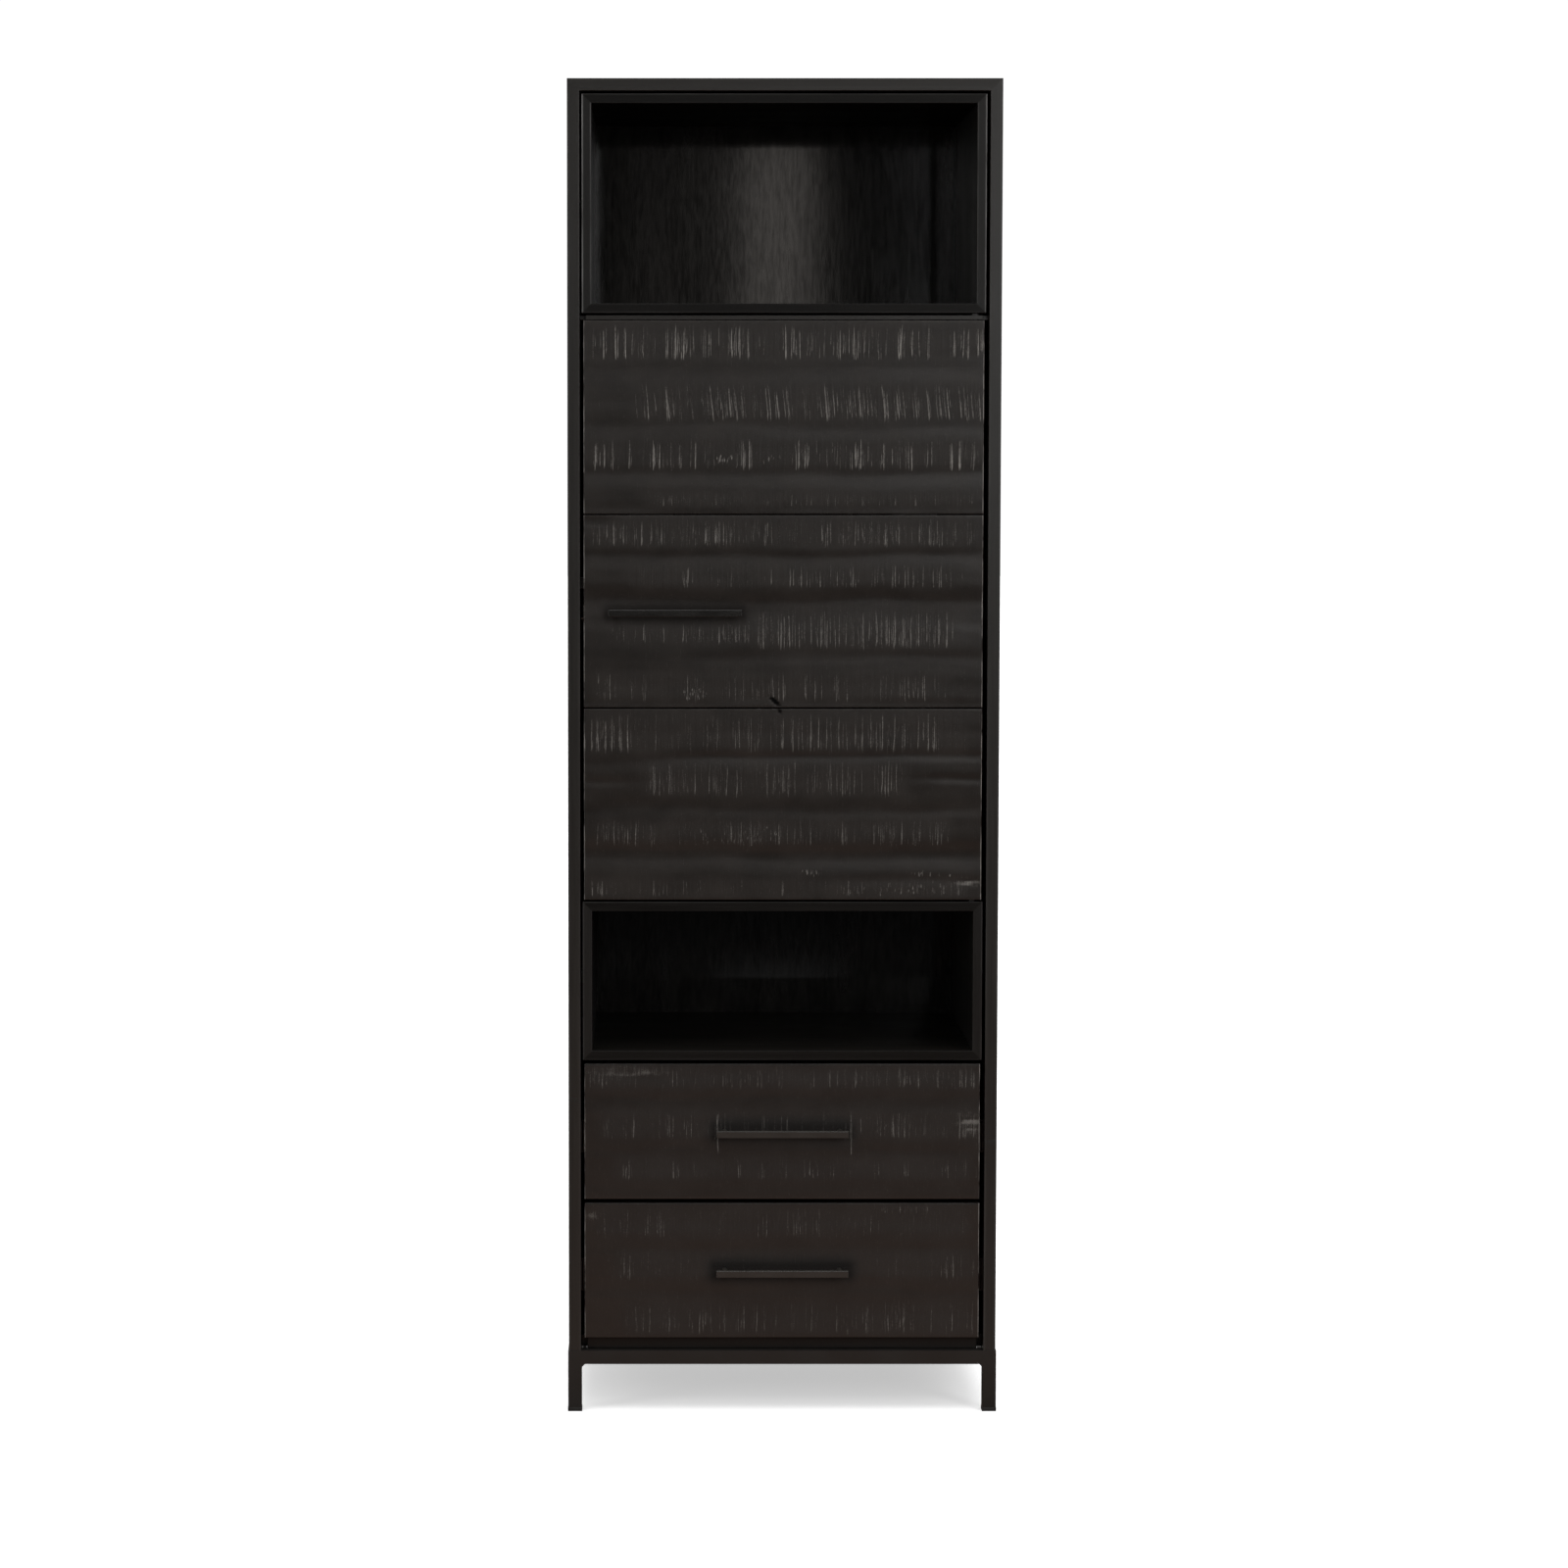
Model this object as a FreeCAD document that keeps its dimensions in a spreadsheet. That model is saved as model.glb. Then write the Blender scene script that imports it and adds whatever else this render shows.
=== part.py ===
"""Tall storage cabinet on a steel leg frame: two open niches, one door and two drawers.

Lengths are in millimetres.  +Z is up, the front faces -Y, and the origin is on the floor
under the middle of the cabinet's outer box, handles included.
"""
import FreeCAD, Part
import math
import os
import re
import Sketcher

DOC = FreeCAD.newDocument("TallCabinet")

# ---------------------------------------------------------------- driving dimensions

SIZES = {
    # whole cabinet
    "overall_width": 600,
    "overall_depth": 400,
    "overall_height": 1850,
    "carcass_inset": 1,
    "carcass_depth": 397,
    "panel": 17,
    "back_thickness": 6,
    "front_shift": -0.8,
    # steel leg frame
    "base_height": 86,
    "tube": 19,
    "tube_wall": 1.5,
    "weld_leg": 4.5,
    "cap_proud": 0.5,
    "cap_height": 5,
    "cap_plug_height": 14,
    "base_screw_inset": 90,
    "base_screw_bite": 16,
    # bottom panel and divider
    "bottom_thickness": 16,
    "bottom_setback": 14,
    "divider_bottom": 1521.5,
    "divider_thickness": 6,
    "divider_setback": 3,
    "notch_width": 8.5,
    "notch_depth": 16,
    # open niches
    "niche_width": 555,
    "niche_wall": 13,
    "upper_niche_floor": 1530.5,
    "upper_niche_height": 298.5,
    "lower_niche_floor": 496,
    "lower_niche_height": 221.5,
    "spacer_radius": 11,
    "niche_screw_front": 60,
    "niche_screw_back": 330,
    "niche_screw_bite": 10,
    # door
    "door_width": 551,
    "door_thickness": 20,
    "door_bottom": 720.5,
    "door_height": 800,
    "board_gap": 2,
    "batten_width": 60,
    "batten_thickness": 12,
    "batten_height": 740,
    "batten_centre": 182,
    "batten_screw_end": 60,
    "batten_screw_bite": 12,
    # hinge pins at the door's right edge
    "pin_radius": 3,
    "pin_clearance": 0.05,
    "pin_inset": 12,
    "pin_depth": 14,
    "pin_head_radius": 6,
    "pin_head_height": 2,
    "thrust_washer": 2.7,
    "bush_radius": 5,
    "bush_depth": 16,
    "bush_end": 1,
    # cupboard shelf and catch
    "shelf_thickness": 18,
    "shelf_depth": 330,
    "shelf_gap": 1,
    "shelf_bottom": 1110,
    "shelf_pin_radius": 2.5,
    "shelf_pin_length": 16,
    "shelf_pin_inset": 45,
    "catch_width": 14,
    "catch_depth": 40,
    "catch_height": 16,
    "strike_width": 14,
    "strike_height": 40,
    "strike_thickness": 1.5,
    "catch_gap": 0.3,
    "catch_above_handle": 32,
    "strike_inset": 1,
    # drawers
    "drawer_width": 551,
    "drawer_height": 190,
    "drawer_thickness": 20,
    "upper_drawer_bottom": 300.5,
    "lower_drawer_bottom": 104.5,
    "box_length": 350,
    "box_height": 140,
    "box_lift": 15,
    "box_wall": 12,
    "floor_lift": 8,
    "floor_thickness": 5,
    "groove_depth": 5,
    # telescopic runners
    "runner_thickness": 12.7,
    "runner_length": 350,
    "runner_setback": 22,
    "runner_height": 45,
    "runner_sheet": 1.2,
    "runner_ball_gap": 1.6,
    "outer_reach": 9,
    "middle_start": 3,
    "middle_reach": 10.5,
    "inner_reach": 6,
    # handles
    "handle_length": 184,
    "handle_height": 9.5,
    "handle_bar_depth": 8,
    "handle_proud": 28,
    "handle_spacing": 160,
    "handle_post_radius": 4,
    "handle_corner": 0.8,
    "door_handle_x": -150,
    "door_handle_z": 1119,
    # screws
    "screw_radius": 2,
    "screw_head_radius": 4,
    "screw_head_height": 2.5,
    "handle_screw_bite": 8,
}

ALIAS = re.compile(r"\b(" + "|".join(SIZES) + r")\b")


def rule(text):
    """A FreeCAD expression, with every dimension's name pointed at the sheet."""
    return ALIAS.sub(r"Sizes.\1", str(text))


# Places that many pieces share, as expressions.
HALF_TUBES = "(overall_width / 2 - cap_proud)"
HALF_CARCASS = "(overall_width / 2 - cap_proud - carcass_inset)"
HALF_INNER = "(overall_width / 2 - cap_proud - carcass_inset - panel)"
FRONT = "((handle_proud + carcass_inset + cap_proud - overall_depth) / 2)"
TUBE_FRONT = f"({FRONT} - carcass_inset)"
TUBE_DEPTH = "(overall_depth - 2 * cap_proud)"
INNER_DEPTH = "(carcass_depth - back_thickness)"
DOOR_LEFT = "(front_shift - door_width / 2)"
DOOR_BACK = f"({FRONT} + door_thickness)"
PIN_X = "(front_shift + door_width / 2 - pin_inset)"
PIN_Y = f"({FRONT} + door_thickness / 2)"
HALF_BOX = f"({HALF_INNER} - runner_thickness)"
BOARD_HEIGHT = "((door_height - 2 * board_gap) / 3)"


def make_sheet():
    sheet = DOC.addObject("Spreadsheet::Sheet", "Sizes")
    for row, (alias, value) in enumerate(SIZES.items(), start=1):
        sheet.set(f"A{row}", alias)
        sheet.set(f"B{row}", str(value))
        sheet.setAlias(f"B{row}", alias)
    DOC.recompute()


# ---------------------------------------------------------------- building blocks

# Where sketch edges start out, in millimetres, before their constraints move them.
ROUGH_MIDDLE = 30
ROUGH_RADIUS = 10


def place(piece, corner):
    """Bind a piece's position to three expressions."""
    for axis, text in zip("xyz", corner):
        piece.setExpression(f"Placement.Base.{axis}", rule(text))


def turn(piece, axis, degrees):
    """Turn a piece about an axis through its own origin."""
    piece.Placement.Rotation = FreeCAD.Rotation(FreeCAD.Vector(*axis), degrees)


def box(label, size, corner):
    """A plain board: size and lowest corner are three expressions each."""
    board = DOC.addObject("Part::Box", label)
    for side, text in zip(("Length", "Width", "Height"), size):
        board.setExpression(side, rule(text))
    place(board, corner)
    return board


def rod(label, radius, length, start, axis=(0, 0, 1), degrees=0):
    """A round bar along +Z, or along the direction that the turn gives."""
    bar = DOC.addObject("Part::Cylinder", label)
    bar.setExpression("Radius", rule(radius))
    bar.setExpression("Height", rule(length))
    turn(bar, axis, degrees)
    place(bar, start)
    return bar


def fuse(label, pieces):
    joined = DOC.addObject("Part::MultiFuse", label)
    joined.Shapes = pieces
    return joined


def group(label, pieces):
    """Identical small pieces that share one node, as separate solids."""
    together = DOC.addObject("Part::Compound", label)
    together.Links = pieces
    return together


def drilled(label, blank, tools):
    """A blank with the shapes of its screws, pins or bushes taken out of it."""
    cutter = tools[0] if len(tools) == 1 else group(label + "_holes", tools)
    piece = DOC.addObject("Part::Cut", label)
    piece.Base = blank
    piece.Tool = cutter
    return piece


def body(label):
    return DOC.addObject("PartDesign::Body", label)


def sketch_on(owner, role, name):
    """A sketch on one of the body's own origin planes."""
    drawing = owner.newObject("Sketcher::SketchObject", f"{owner.Name}_{name}")
    plane = next(f for f in owner.Origin.OriginFeatures if f.Role == role)
    drawing.AttachmentSupport = [(plane, "")]
    drawing.MapMode = "FlatFace"
    return drawing


def bind_point(drawing, edge, end, rough, point):
    """Fix one end of an edge at two expressions from the sketch's origin."""
    for kind, start, text in zip(("DistanceX", "DistanceY"), rough, point):
        index = drawing.addConstraint(Sketcher.Constraint(kind, -1, 1, edge, end, start))
        drawing.setExpression(f"Constraints[{index}]", rule(text))


def draw_outline(drawing, points):
    """A closed outline of straight edges, each corner bound to two expressions."""
    count = len(points)
    first = drawing.GeometryCount
    rough = []
    for number in range(count):
        angle = 2 * math.pi * number / count
        rough.append((
            ROUGH_MIDDLE + ROUGH_RADIUS * math.cos(angle),
            ROUGH_MIDDLE + ROUGH_RADIUS * math.sin(angle),
        ))
    for number in range(count):
        start = FreeCAD.Vector(*rough[number], 0)
        end = FreeCAD.Vector(*rough[(number + 1) % count], 0)
        drawing.addGeometry(Part.LineSegment(start, end), False)
    for number in range(count):
        after = first + (number + 1) % count
        drawing.addConstraint(Sketcher.Constraint("Coincident", first + number, 2, after, 1))
    for number, point in enumerate(points):
        bind_point(drawing, first + number, 1, rough[number], point)


def draw_rectangle(drawing, left, low, right, high):
    draw_outline(drawing, [(left, low), (right, low), (right, high), (left, high)])


def draw_circle(drawing, centre, radius):
    middle = FreeCAD.Vector(ROUGH_MIDDLE, ROUGH_MIDDLE, 0)
    circle = Part.Circle(middle, FreeCAD.Vector(0, 0, 1), ROUGH_RADIUS)
    edge = drawing.addGeometry(circle, False)
    index = drawing.addConstraint(Sketcher.Constraint("Radius", edge, ROUGH_RADIUS))
    drawing.setExpression(f"Constraints[{index}]", rule(radius))
    bind_point(drawing, edge, 3, (ROUGH_MIDDLE, ROUGH_MIDDLE), centre)


def pad(owner, drawing, length, backwards=False):
    """Raise a sketch.  On the XZ plane, backwards points along +Y."""
    raised = owner.newObject("PartDesign::Pad", f"{drawing.Name}_pad")
    raised.Profile = drawing
    raised.setExpression("Length", rule(length))
    raised.Reversed = backwards
    return raised


def pocket(owner, drawing, length, backwards=False):
    """Cut a sketch into the body, and stop if nothing was cut."""
    DOC.recompute()
    before = owner.Shape.Volume
    cut = owner.newObject("PartDesign::Pocket", f"{drawing.Name}_pocket")
    cut.Profile = drawing
    cut.setExpression("Length", rule(length))
    cut.Reversed = backwards
    DOC.recompute()
    if owner.Shape.Volume >= before:
        raise RuntimeError(f"{cut.Name} cuts nothing")
    return cut


def revolve(owner, drawing):
    """Turn a sketch on the XZ plane through a full circle about its upright axis."""
    turned = owner.newObject("PartDesign::Revolution", f"{drawing.Name}_turned")
    turned.Profile = drawing
    turned.ReferenceAxis = (drawing, ["V_Axis"])
    turned.Angle = 360
    return turned


def screw(label, tip, length, axis, degrees):
    """A countersunk screw from its tip back to its head, along the turned +Z."""
    shank = rod(label + "_shank", "screw_radius", length, (0, 0, 0))
    head = DOC.addObject("Part::Cone", label + "_head")
    head.setExpression("Radius1", rule("screw_radius"))
    head.setExpression("Radius2", rule("screw_head_radius"))
    head.setExpression("Height", rule("screw_head_height"))
    place(head, ("0", "0", f"{length} - screw_head_height"))
    whole = fuse(label, [shank, head])
    turn(whole, axis, degrees)
    place(whole, tip)
    return whole


# ---------------------------------------------------------------- carcass

def side_panels():
    """Two upright sides, each mitred at its top to meet the top panel."""
    pieces = {}
    for name, sign in (("side_panel_left", "-1"), ("side_panel_right", "1")):
        outer = f"{sign} * {HALF_CARCASS}"
        inner = f"{sign} * {HALF_INNER}"
        owner = body(name + "_blank")
        drawing = sketch_on(owner, "XZ_Plane", "outline")
        draw_outline(drawing, [
            (outer, "base_height"),
            (outer, "overall_height"),
            (inner, "overall_height - panel"),
            (inner, "base_height"),
        ])
        pad(owner, drawing, "carcass_depth", backwards=True)
        place(owner, ("0", FRONT, "0"))
        pieces[name] = owner
    return pieces


def top_panel():
    owner = body("top_panel")
    drawing = sketch_on(owner, "XZ_Plane", "outline")
    draw_outline(drawing, [
        (f"-{HALF_CARCASS}", "overall_height"),
        (HALF_CARCASS, "overall_height"),
        (HALF_INNER, "overall_height - panel"),
        (f"-{HALF_INNER}", "overall_height - panel"),
    ])
    pad(owner, drawing, "carcass_depth", backwards=True)
    place(owner, ("0", FRONT, "0"))
    return owner


def back_panel():
    return box(
        "back_panel",
        (f"2 * {HALF_INNER}", "back_thickness", "overall_height - panel - base_height"),
        (f"-{HALF_INNER}", f"{FRONT} + {INNER_DEPTH}", "base_height"),
    )


def notched_board(label, bottom, thickness, setback):
    """A level board between the sides, its two front corners cut back."""
    owner = body(label)
    drawing = sketch_on(owner, "XY_Plane", "outline")
    near = f"{FRONT} + {setback}"
    far = f"{FRONT} + {INNER_DEPTH}"
    notch = f"{near} + notch_depth"
    narrow = f"({HALF_INNER} - notch_width)"
    draw_outline(drawing, [
        (f"-{narrow}", near),
        (narrow, near),
        (narrow, notch),
        (HALF_INNER, notch),
        (HALF_INNER, far),
        (f"-{HALF_INNER}", far),
        (f"-{HALF_INNER}", notch),
        (f"-{narrow}", notch),
    ])
    pad(owner, drawing, thickness)
    place(owner, ("0", "0", bottom))
    return owner


# ---------------------------------------------------------------- open niches

def niche(prefix, floor, height, top_name):
    """Four boards of an open box; the two sides take the fixing screws."""
    left = "(front_shift - niche_width / 2)"
    top = f"{floor} + {height} - niche_wall"
    level = ("niche_width", INNER_DEPTH, "niche_wall")
    upright = ("niche_wall", INNER_DEPTH, f"{height} - 2 * niche_wall")
    right = "front_shift + niche_width / 2 - niche_wall"
    return {
        "top": box(top_name, level, (left, FRONT, top)),
        "bottom": box(prefix + "_bottom", level, (left, FRONT, floor)),
        "left": box(prefix + "_left_blank", upright, (left, FRONT, f"{floor} + niche_wall")),
        "right": box(prefix + "_right_blank", upright, (right, FRONT, f"{floor} + niche_wall")),
    }


def niche_fixings(places):
    """Spacer rings between niche and side panel, each with a screw through it."""
    screws = []
    rings = []
    for prefix, floor, height in places:
        middle = f"{floor} + {height} / 2"
        for depth in ("niche_screw_front", "niche_screw_back"):
            along = f"{FRONT} + {depth}"
            for side, sign, degrees in (("left", "-1", 90), ("right", "1", -90)):
                name = f"{prefix}_{depth}_{side}"
                gap = f"({HALF_INNER} - niche_width / 2 - {sign} * front_shift)"
                tip = f"{sign} * ({HALF_INNER} + niche_screw_bite)"
                length = f"(niche_screw_bite + {gap} + niche_wall)"
                fixing = screw(name, (tip, along, middle), length, (0, 1, 0), degrees)
                ring = rod(
                    name + "_disc", "spacer_radius", gap,
                    (f"{sign} * {HALF_INNER}", along, middle), (0, 1, 0), degrees)
                screws.append(fixing)
                rings.append(drilled(name + "_ring", ring, [fixing]))
    return group("niche_screws", screws), group("niche_spacers", rings)


# ---------------------------------------------------------------- steel leg frame

def leg(name, x_sign, at_back):
    """A square tube, closed at the top and open below for its foot cap."""
    owner = body(name)
    x_low = f"-{HALF_TUBES}" if x_sign < 0 else f"{HALF_TUBES} - tube"
    y_low = f"{TUBE_FRONT} + {TUBE_DEPTH} - tube" if at_back else TUBE_FRONT
    outside = sketch_on(owner, "XY_Plane", "outside")
    draw_rectangle(outside, "0", "0", "tube", "tube")
    pad(owner, outside, "base_height - cap_height")
    inside = sketch_on(owner, "XY_Plane", "inside")
    draw_rectangle(inside, "tube_wall", "tube_wall", "tube - tube_wall", "tube - tube_wall")
    pocket(owner, inside, "base_height - cap_height - tube_wall", backwards=True)
    place(owner, (x_low, y_low, "cap_height"))
    return owner


def cross_rail(name, at_back):
    """A front or back tube, with a small weld fillet in the corner under each end."""
    owner = body(name)
    low = f"-({HALF_TUBES} - tube)"
    high = f"({HALF_TUBES} - tube)"
    outline = sketch_on(owner, "XZ_Plane", "outline")
    draw_outline(outline, [
        (low, "0"),
        (high, "0"),
        (high, "-tube - weld_leg"),
        (f"{high} - weld_leg", "-tube"),
        (f"{low} + weld_leg", "-tube"),
        (low, "-tube - weld_leg"),
    ])
    pad(owner, outline, "tube", backwards=True)
    y_low = f"{TUBE_FRONT} + {TUBE_DEPTH} - tube" if at_back else TUBE_FRONT
    hollow = sketch_on(owner, "YZ_Plane", "hollow")
    draw_rectangle(hollow, "tube_wall", "-tube + tube_wall", "tube - tube_wall", "-tube_wall")
    bore = pocket(owner, hollow, f"2 * {HALF_TUBES}")
    bore.Midplane = True
    place(owner, ("0", y_low, "base_height"))
    return owner


def side_rail(name, x_sign):
    """A side tube between the front and back legs."""
    owner = body(name + "_blank")
    section = sketch_on(owner, "XZ_Plane", "section")
    draw_rectangle(section, "0", "0", "tube", "tube")
    draw_rectangle(section, "tube_wall", "tube_wall", "tube - tube_wall", "tube - tube_wall")
    pad(owner, section, f"{TUBE_DEPTH} - 2 * tube", backwards=True)
    x_low = f"-{HALF_TUBES}" if x_sign < 0 else f"{HALF_TUBES} - tube"
    place(owner, (x_low, f"{TUBE_FRONT} + tube", "base_height - tube"))
    return owner


def foot_caps():
    """Four plastic caps, each with a plug that fills the end of its leg."""
    caps = []
    for side, x_low in (("left", f"-{HALF_TUBES}"), ("right", f"{HALF_TUBES} - tube")):
        for end, y_low in (("front", TUBE_FRONT), ("back", f"{TUBE_FRONT} + {TUBE_DEPTH} - tube")):
            name = f"foot_cap_{end}_{side}"
            tread = box(
                name + "_tread",
                ("tube + 2 * cap_proud", "tube + 2 * cap_proud", "cap_height"),
                (f"{x_low} - cap_proud", f"{y_low} - cap_proud", "0"))
            plug = box(
                name + "_plug",
                ("tube - 2 * tube_wall", "tube - 2 * tube_wall", "cap_plug_height"),
                (f"{x_low} + tube_wall", f"{y_low} + tube_wall", "cap_height"))
            caps.append(fuse(name, [tread, plug]))
    return group("foot_caps", caps)


def base_screws():
    """Screws up through the side tubes into the side panels."""
    screws = []
    near = f"{TUBE_FRONT} + base_screw_inset"
    far = f"{TUBE_FRONT} + {TUBE_DEPTH} - base_screw_inset"
    length = "(base_screw_bite + tube)"
    for end, along in (("front", near), ("back", far)):
        for side, sign in (("left", "-1"), ("right", "1")):
            tip = (f"{sign} * ({HALF_TUBES} - tube / 2)", along, "base_height + base_screw_bite")
            screws.append(screw(f"base_screw_{end}_{side}", tip, length, (1, 0, 0), 180))
    return group("base_screws", screws)


# ---------------------------------------------------------------- cupboard and door

def shelf():
    return box(
        "cupboard_shelf",
        (f"2 * {HALF_INNER} - 2 * shelf_gap", "shelf_depth", "shelf_thickness"),
        (f"-{HALF_INNER} + shelf_gap", f"{FRONT} + {INNER_DEPTH} - shelf_depth", "shelf_bottom"),
    )


def shelf_pins():
    """Four round pins, half in the side panels, just under the shelf."""
    pins = []
    near = f"{FRONT} + {INNER_DEPTH} - shelf_depth + shelf_pin_inset"
    far = f"{FRONT} + {INNER_DEPTH} - shelf_pin_inset"
    height = "shelf_bottom - shelf_pin_radius"
    for end, along in (("front", near), ("back", far)):
        for side, start in (
                ("left", f"-{HALF_INNER} - shelf_pin_length / 2"),
                ("right", f"{HALF_INNER} - shelf_pin_length / 2")):
            pins.append(rod(
                f"shelf_pin_{end}_{side}", "shelf_pin_radius", "shelf_pin_length",
                (start, along, height), (0, 1, 0), 90))
    return group("shelf_pins", pins)


def hinge_pins():
    """A headed pin down through the divider, and one up with a thrust washer below it."""
    upper = body("hinge_pin_top")
    drawing = sketch_on(upper, "XZ_Plane", "profile")
    reach = "(divider_thickness + divider_bottom - door_bottom - door_height + pin_depth)"
    draw_outline(drawing, [
        ("0", f"-{reach}"),
        ("pin_radius", f"-{reach}"),
        ("pin_radius", "0"),
        ("pin_head_radius", "0"),
        ("pin_head_radius", "pin_head_height"),
        ("0", "pin_head_height"),
    ])
    revolve(upper, drawing)
    place(upper, (PIN_X, PIN_Y, "divider_bottom + divider_thickness"))
    lower = body("hinge_pin_bottom")
    drawing = sketch_on(lower, "XZ_Plane", "profile")
    rise = "(door_bottom - lower_niche_floor - lower_niche_height + pin_depth)"
    draw_outline(drawing, [
        ("0", "-niche_wall"),
        ("pin_radius", "-niche_wall"),
        ("pin_radius", "0"),
        ("pin_head_radius", "0"),
        ("pin_head_radius", "thrust_washer"),
        ("pin_radius", "thrust_washer"),
        ("pin_radius", rise),
        ("0", rise),
    ])
    revolve(lower, drawing)
    place(lower, (PIN_X, PIN_Y, "lower_niche_floor + lower_niche_height"))
    return group("hinge_pins", [upper, lower])


def hinge_bushes():
    """Two blind bushes let into the door's ends, a running fit on the pins."""
    bushes = []
    for name, height, degrees in (
            ("hinge_bush_bottom", "door_bottom", 0),
            ("hinge_bush_top", "door_bottom + door_height", 180)):
        owner = body(name)
        drawing = sketch_on(owner, "XZ_Plane", "profile")
        draw_outline(drawing, [
            ("pin_radius + pin_clearance", "0"),
            ("bush_radius", "0"),
            ("bush_radius", "bush_depth"),
            ("0", "bush_depth"),
            ("0", "bush_depth - bush_end"),
            ("pin_radius + pin_clearance", "bush_depth - bush_end"),
        ])
        revolve(owner, drawing)
        turn(owner, (1, 0, 0), degrees)
        place(owner, (PIN_X, PIN_Y, height))
        bushes.append(owner)
    return group("hinge_bushes", bushes)


def bush_seats():
    """The round pockets in the door's bottom and top ends that take the bushes."""
    low = rod("bush_seat_bottom", "bush_radius", "bush_depth", (PIN_X, PIN_Y, "door_bottom"))
    high = rod(
        "bush_seat_top", "bush_radius", "bush_depth",
        (PIN_X, PIN_Y, "door_bottom + door_height - bush_depth"))
    return low, high


def catch_and_strike():
    """A magnetic catch on the left side panel, and the plate that it holds."""
    low = "(door_handle_z + catch_above_handle)"
    catch = box(
        "door_catch",
        ("catch_width", "catch_depth", "catch_height"),
        (f"-{HALF_INNER}", f"{DOOR_BACK} + strike_thickness + catch_gap", low))
    strike = box(
        "door_strike_plate",
        ("strike_width", "strike_thickness", "strike_height"),
        (f"{DOOR_LEFT} + strike_inset", DOOR_BACK, f"{low} + (catch_height - strike_height) / 2"))
    return catch, strike


def battens():
    """Two upright battens that hold the door's boards together from behind."""
    pieces = {}
    for name, sign in (("door_batten_left", "-1"), ("door_batten_right", "1")):
        low = f"front_shift + {sign} * batten_centre - batten_width / 2"
        pieces[name] = box(
            name + "_blank",
            ("batten_width", "batten_thickness", "batten_height"),
            (low, DOOR_BACK, "door_bottom + (door_height - batten_height) / 2"))
    return pieces


def batten_screws():
    """Two screws from each batten into each board."""
    screws = []
    length = "(batten_thickness + batten_screw_bite)"
    for side, sign in (("left", "-1"), ("right", "1")):
        for number in range(3):
            low = f"door_bottom + {number} * ({BOARD_HEIGHT} + board_gap)"
            for end, rise in (
                    ("low", "batten_screw_end"),
                    ("high", f"{BOARD_HEIGHT} - batten_screw_end")):
                tip = (
                    f"front_shift + {sign} * batten_centre",
                    f"{DOOR_BACK} - batten_screw_bite",
                    f"{low} + {rise}",
                )
                name = f"batten_screw_{side}_{number}_{end}"
                screws.append(screw(name, tip, length, (1, 0, 0), -90))
    return group("batten_screws", screws)


def door_boards():
    """Three level boards with a narrow groove between them, lowest first."""
    boards = []
    for number, name in enumerate(("bottom", "middle", "top")):
        boards.append(box(
            f"door_board_{name}_blank",
            ("door_width", "door_thickness", BOARD_HEIGHT),
            (DOOR_LEFT, FRONT, f"door_bottom + {number} * ({BOARD_HEIGHT} + board_gap)")))
    return boards


# ---------------------------------------------------------------- handles

def handle(label, centre_x, centre_z):
    """A square bar on two round posts, and the two screws that hold it."""
    owner = body(label + "_blank")
    bar = sketch_on(owner, "XZ_Plane", "bar")
    draw_rectangle(
        bar, "-handle_length / 2", "-handle_height / 2", "handle_length / 2", "handle_height / 2")
    square = pad(owner, bar, "handle_bar_depth", backwards=True)
    DOC.recompute()
    softened = owner.newObject("PartDesign::Fillet", label + "_softened")
    softened.Base = (square, [""])
    softened.UseAllEdges = True
    softened.setExpression("Radius", rule("handle_corner"))
    DOC.recompute()
    posts = sketch_on(owner, "XZ_Plane", "posts")
    for sign in ("-1", "1"):
        draw_circle(posts, (f"{sign} * handle_spacing / 2", "0"), "handle_post_radius")
    posts.setExpression("AttachmentOffset.Base.z", rule("-handle_bar_depth + handle_corner"))
    pad(owner, posts, "handle_proud - handle_bar_depth + handle_corner", backwards=True)
    place(owner, (centre_x, f"{FRONT} - handle_proud", centre_z))
    screws = []
    for side, sign in (("left", "-1"), ("right", "1")):
        name = f"{label}_screw_{side}"
        x_at = f"{centre_x} + {sign} * handle_spacing / 2"
        shank = rod(
            name + "_shank", "screw_radius", "handle_screw_bite + door_thickness",
            (x_at, f"{FRONT} - handle_screw_bite", centre_z), (1, 0, 0), -90)
        head = rod(
            name + "_head", "screw_head_radius", "screw_head_height",
            (x_at, DOOR_BACK, centre_z), (1, 0, 0), -90)
        screws.append(fuse(name, [shank, head]))
    return drilled(label, owner, screws), screws


# ---------------------------------------------------------------- drawers and runners

def channel(label, sign, web, tip, inward, half_height, middle):
    """One C-section runner member; web and tip are measured from the side panel."""
    owner = body(label)
    drawing = sketch_on(owner, "XZ_Plane", "section")

    def across(offset):
        return f"{sign} * ({HALF_INNER} - ({offset}))"

    web_inside = f"{web} {inward} runner_sheet"
    draw_outline(drawing, [
        (across(web), f"-({half_height})"),
        (across(tip), f"-({half_height})"),
        (across(tip), f"-({half_height}) + runner_sheet"),
        (across(web_inside), f"-({half_height}) + runner_sheet"),
        (across(web_inside), f"{half_height} - runner_sheet"),
        (across(tip), f"{half_height} - runner_sheet"),
        (across(tip), half_height),
        (across(web), half_height),
    ])
    pad(owner, drawing, "runner_length", backwards=True)
    place(owner, ("0", f"{FRONT} + runner_setback", middle))
    return owner


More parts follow.
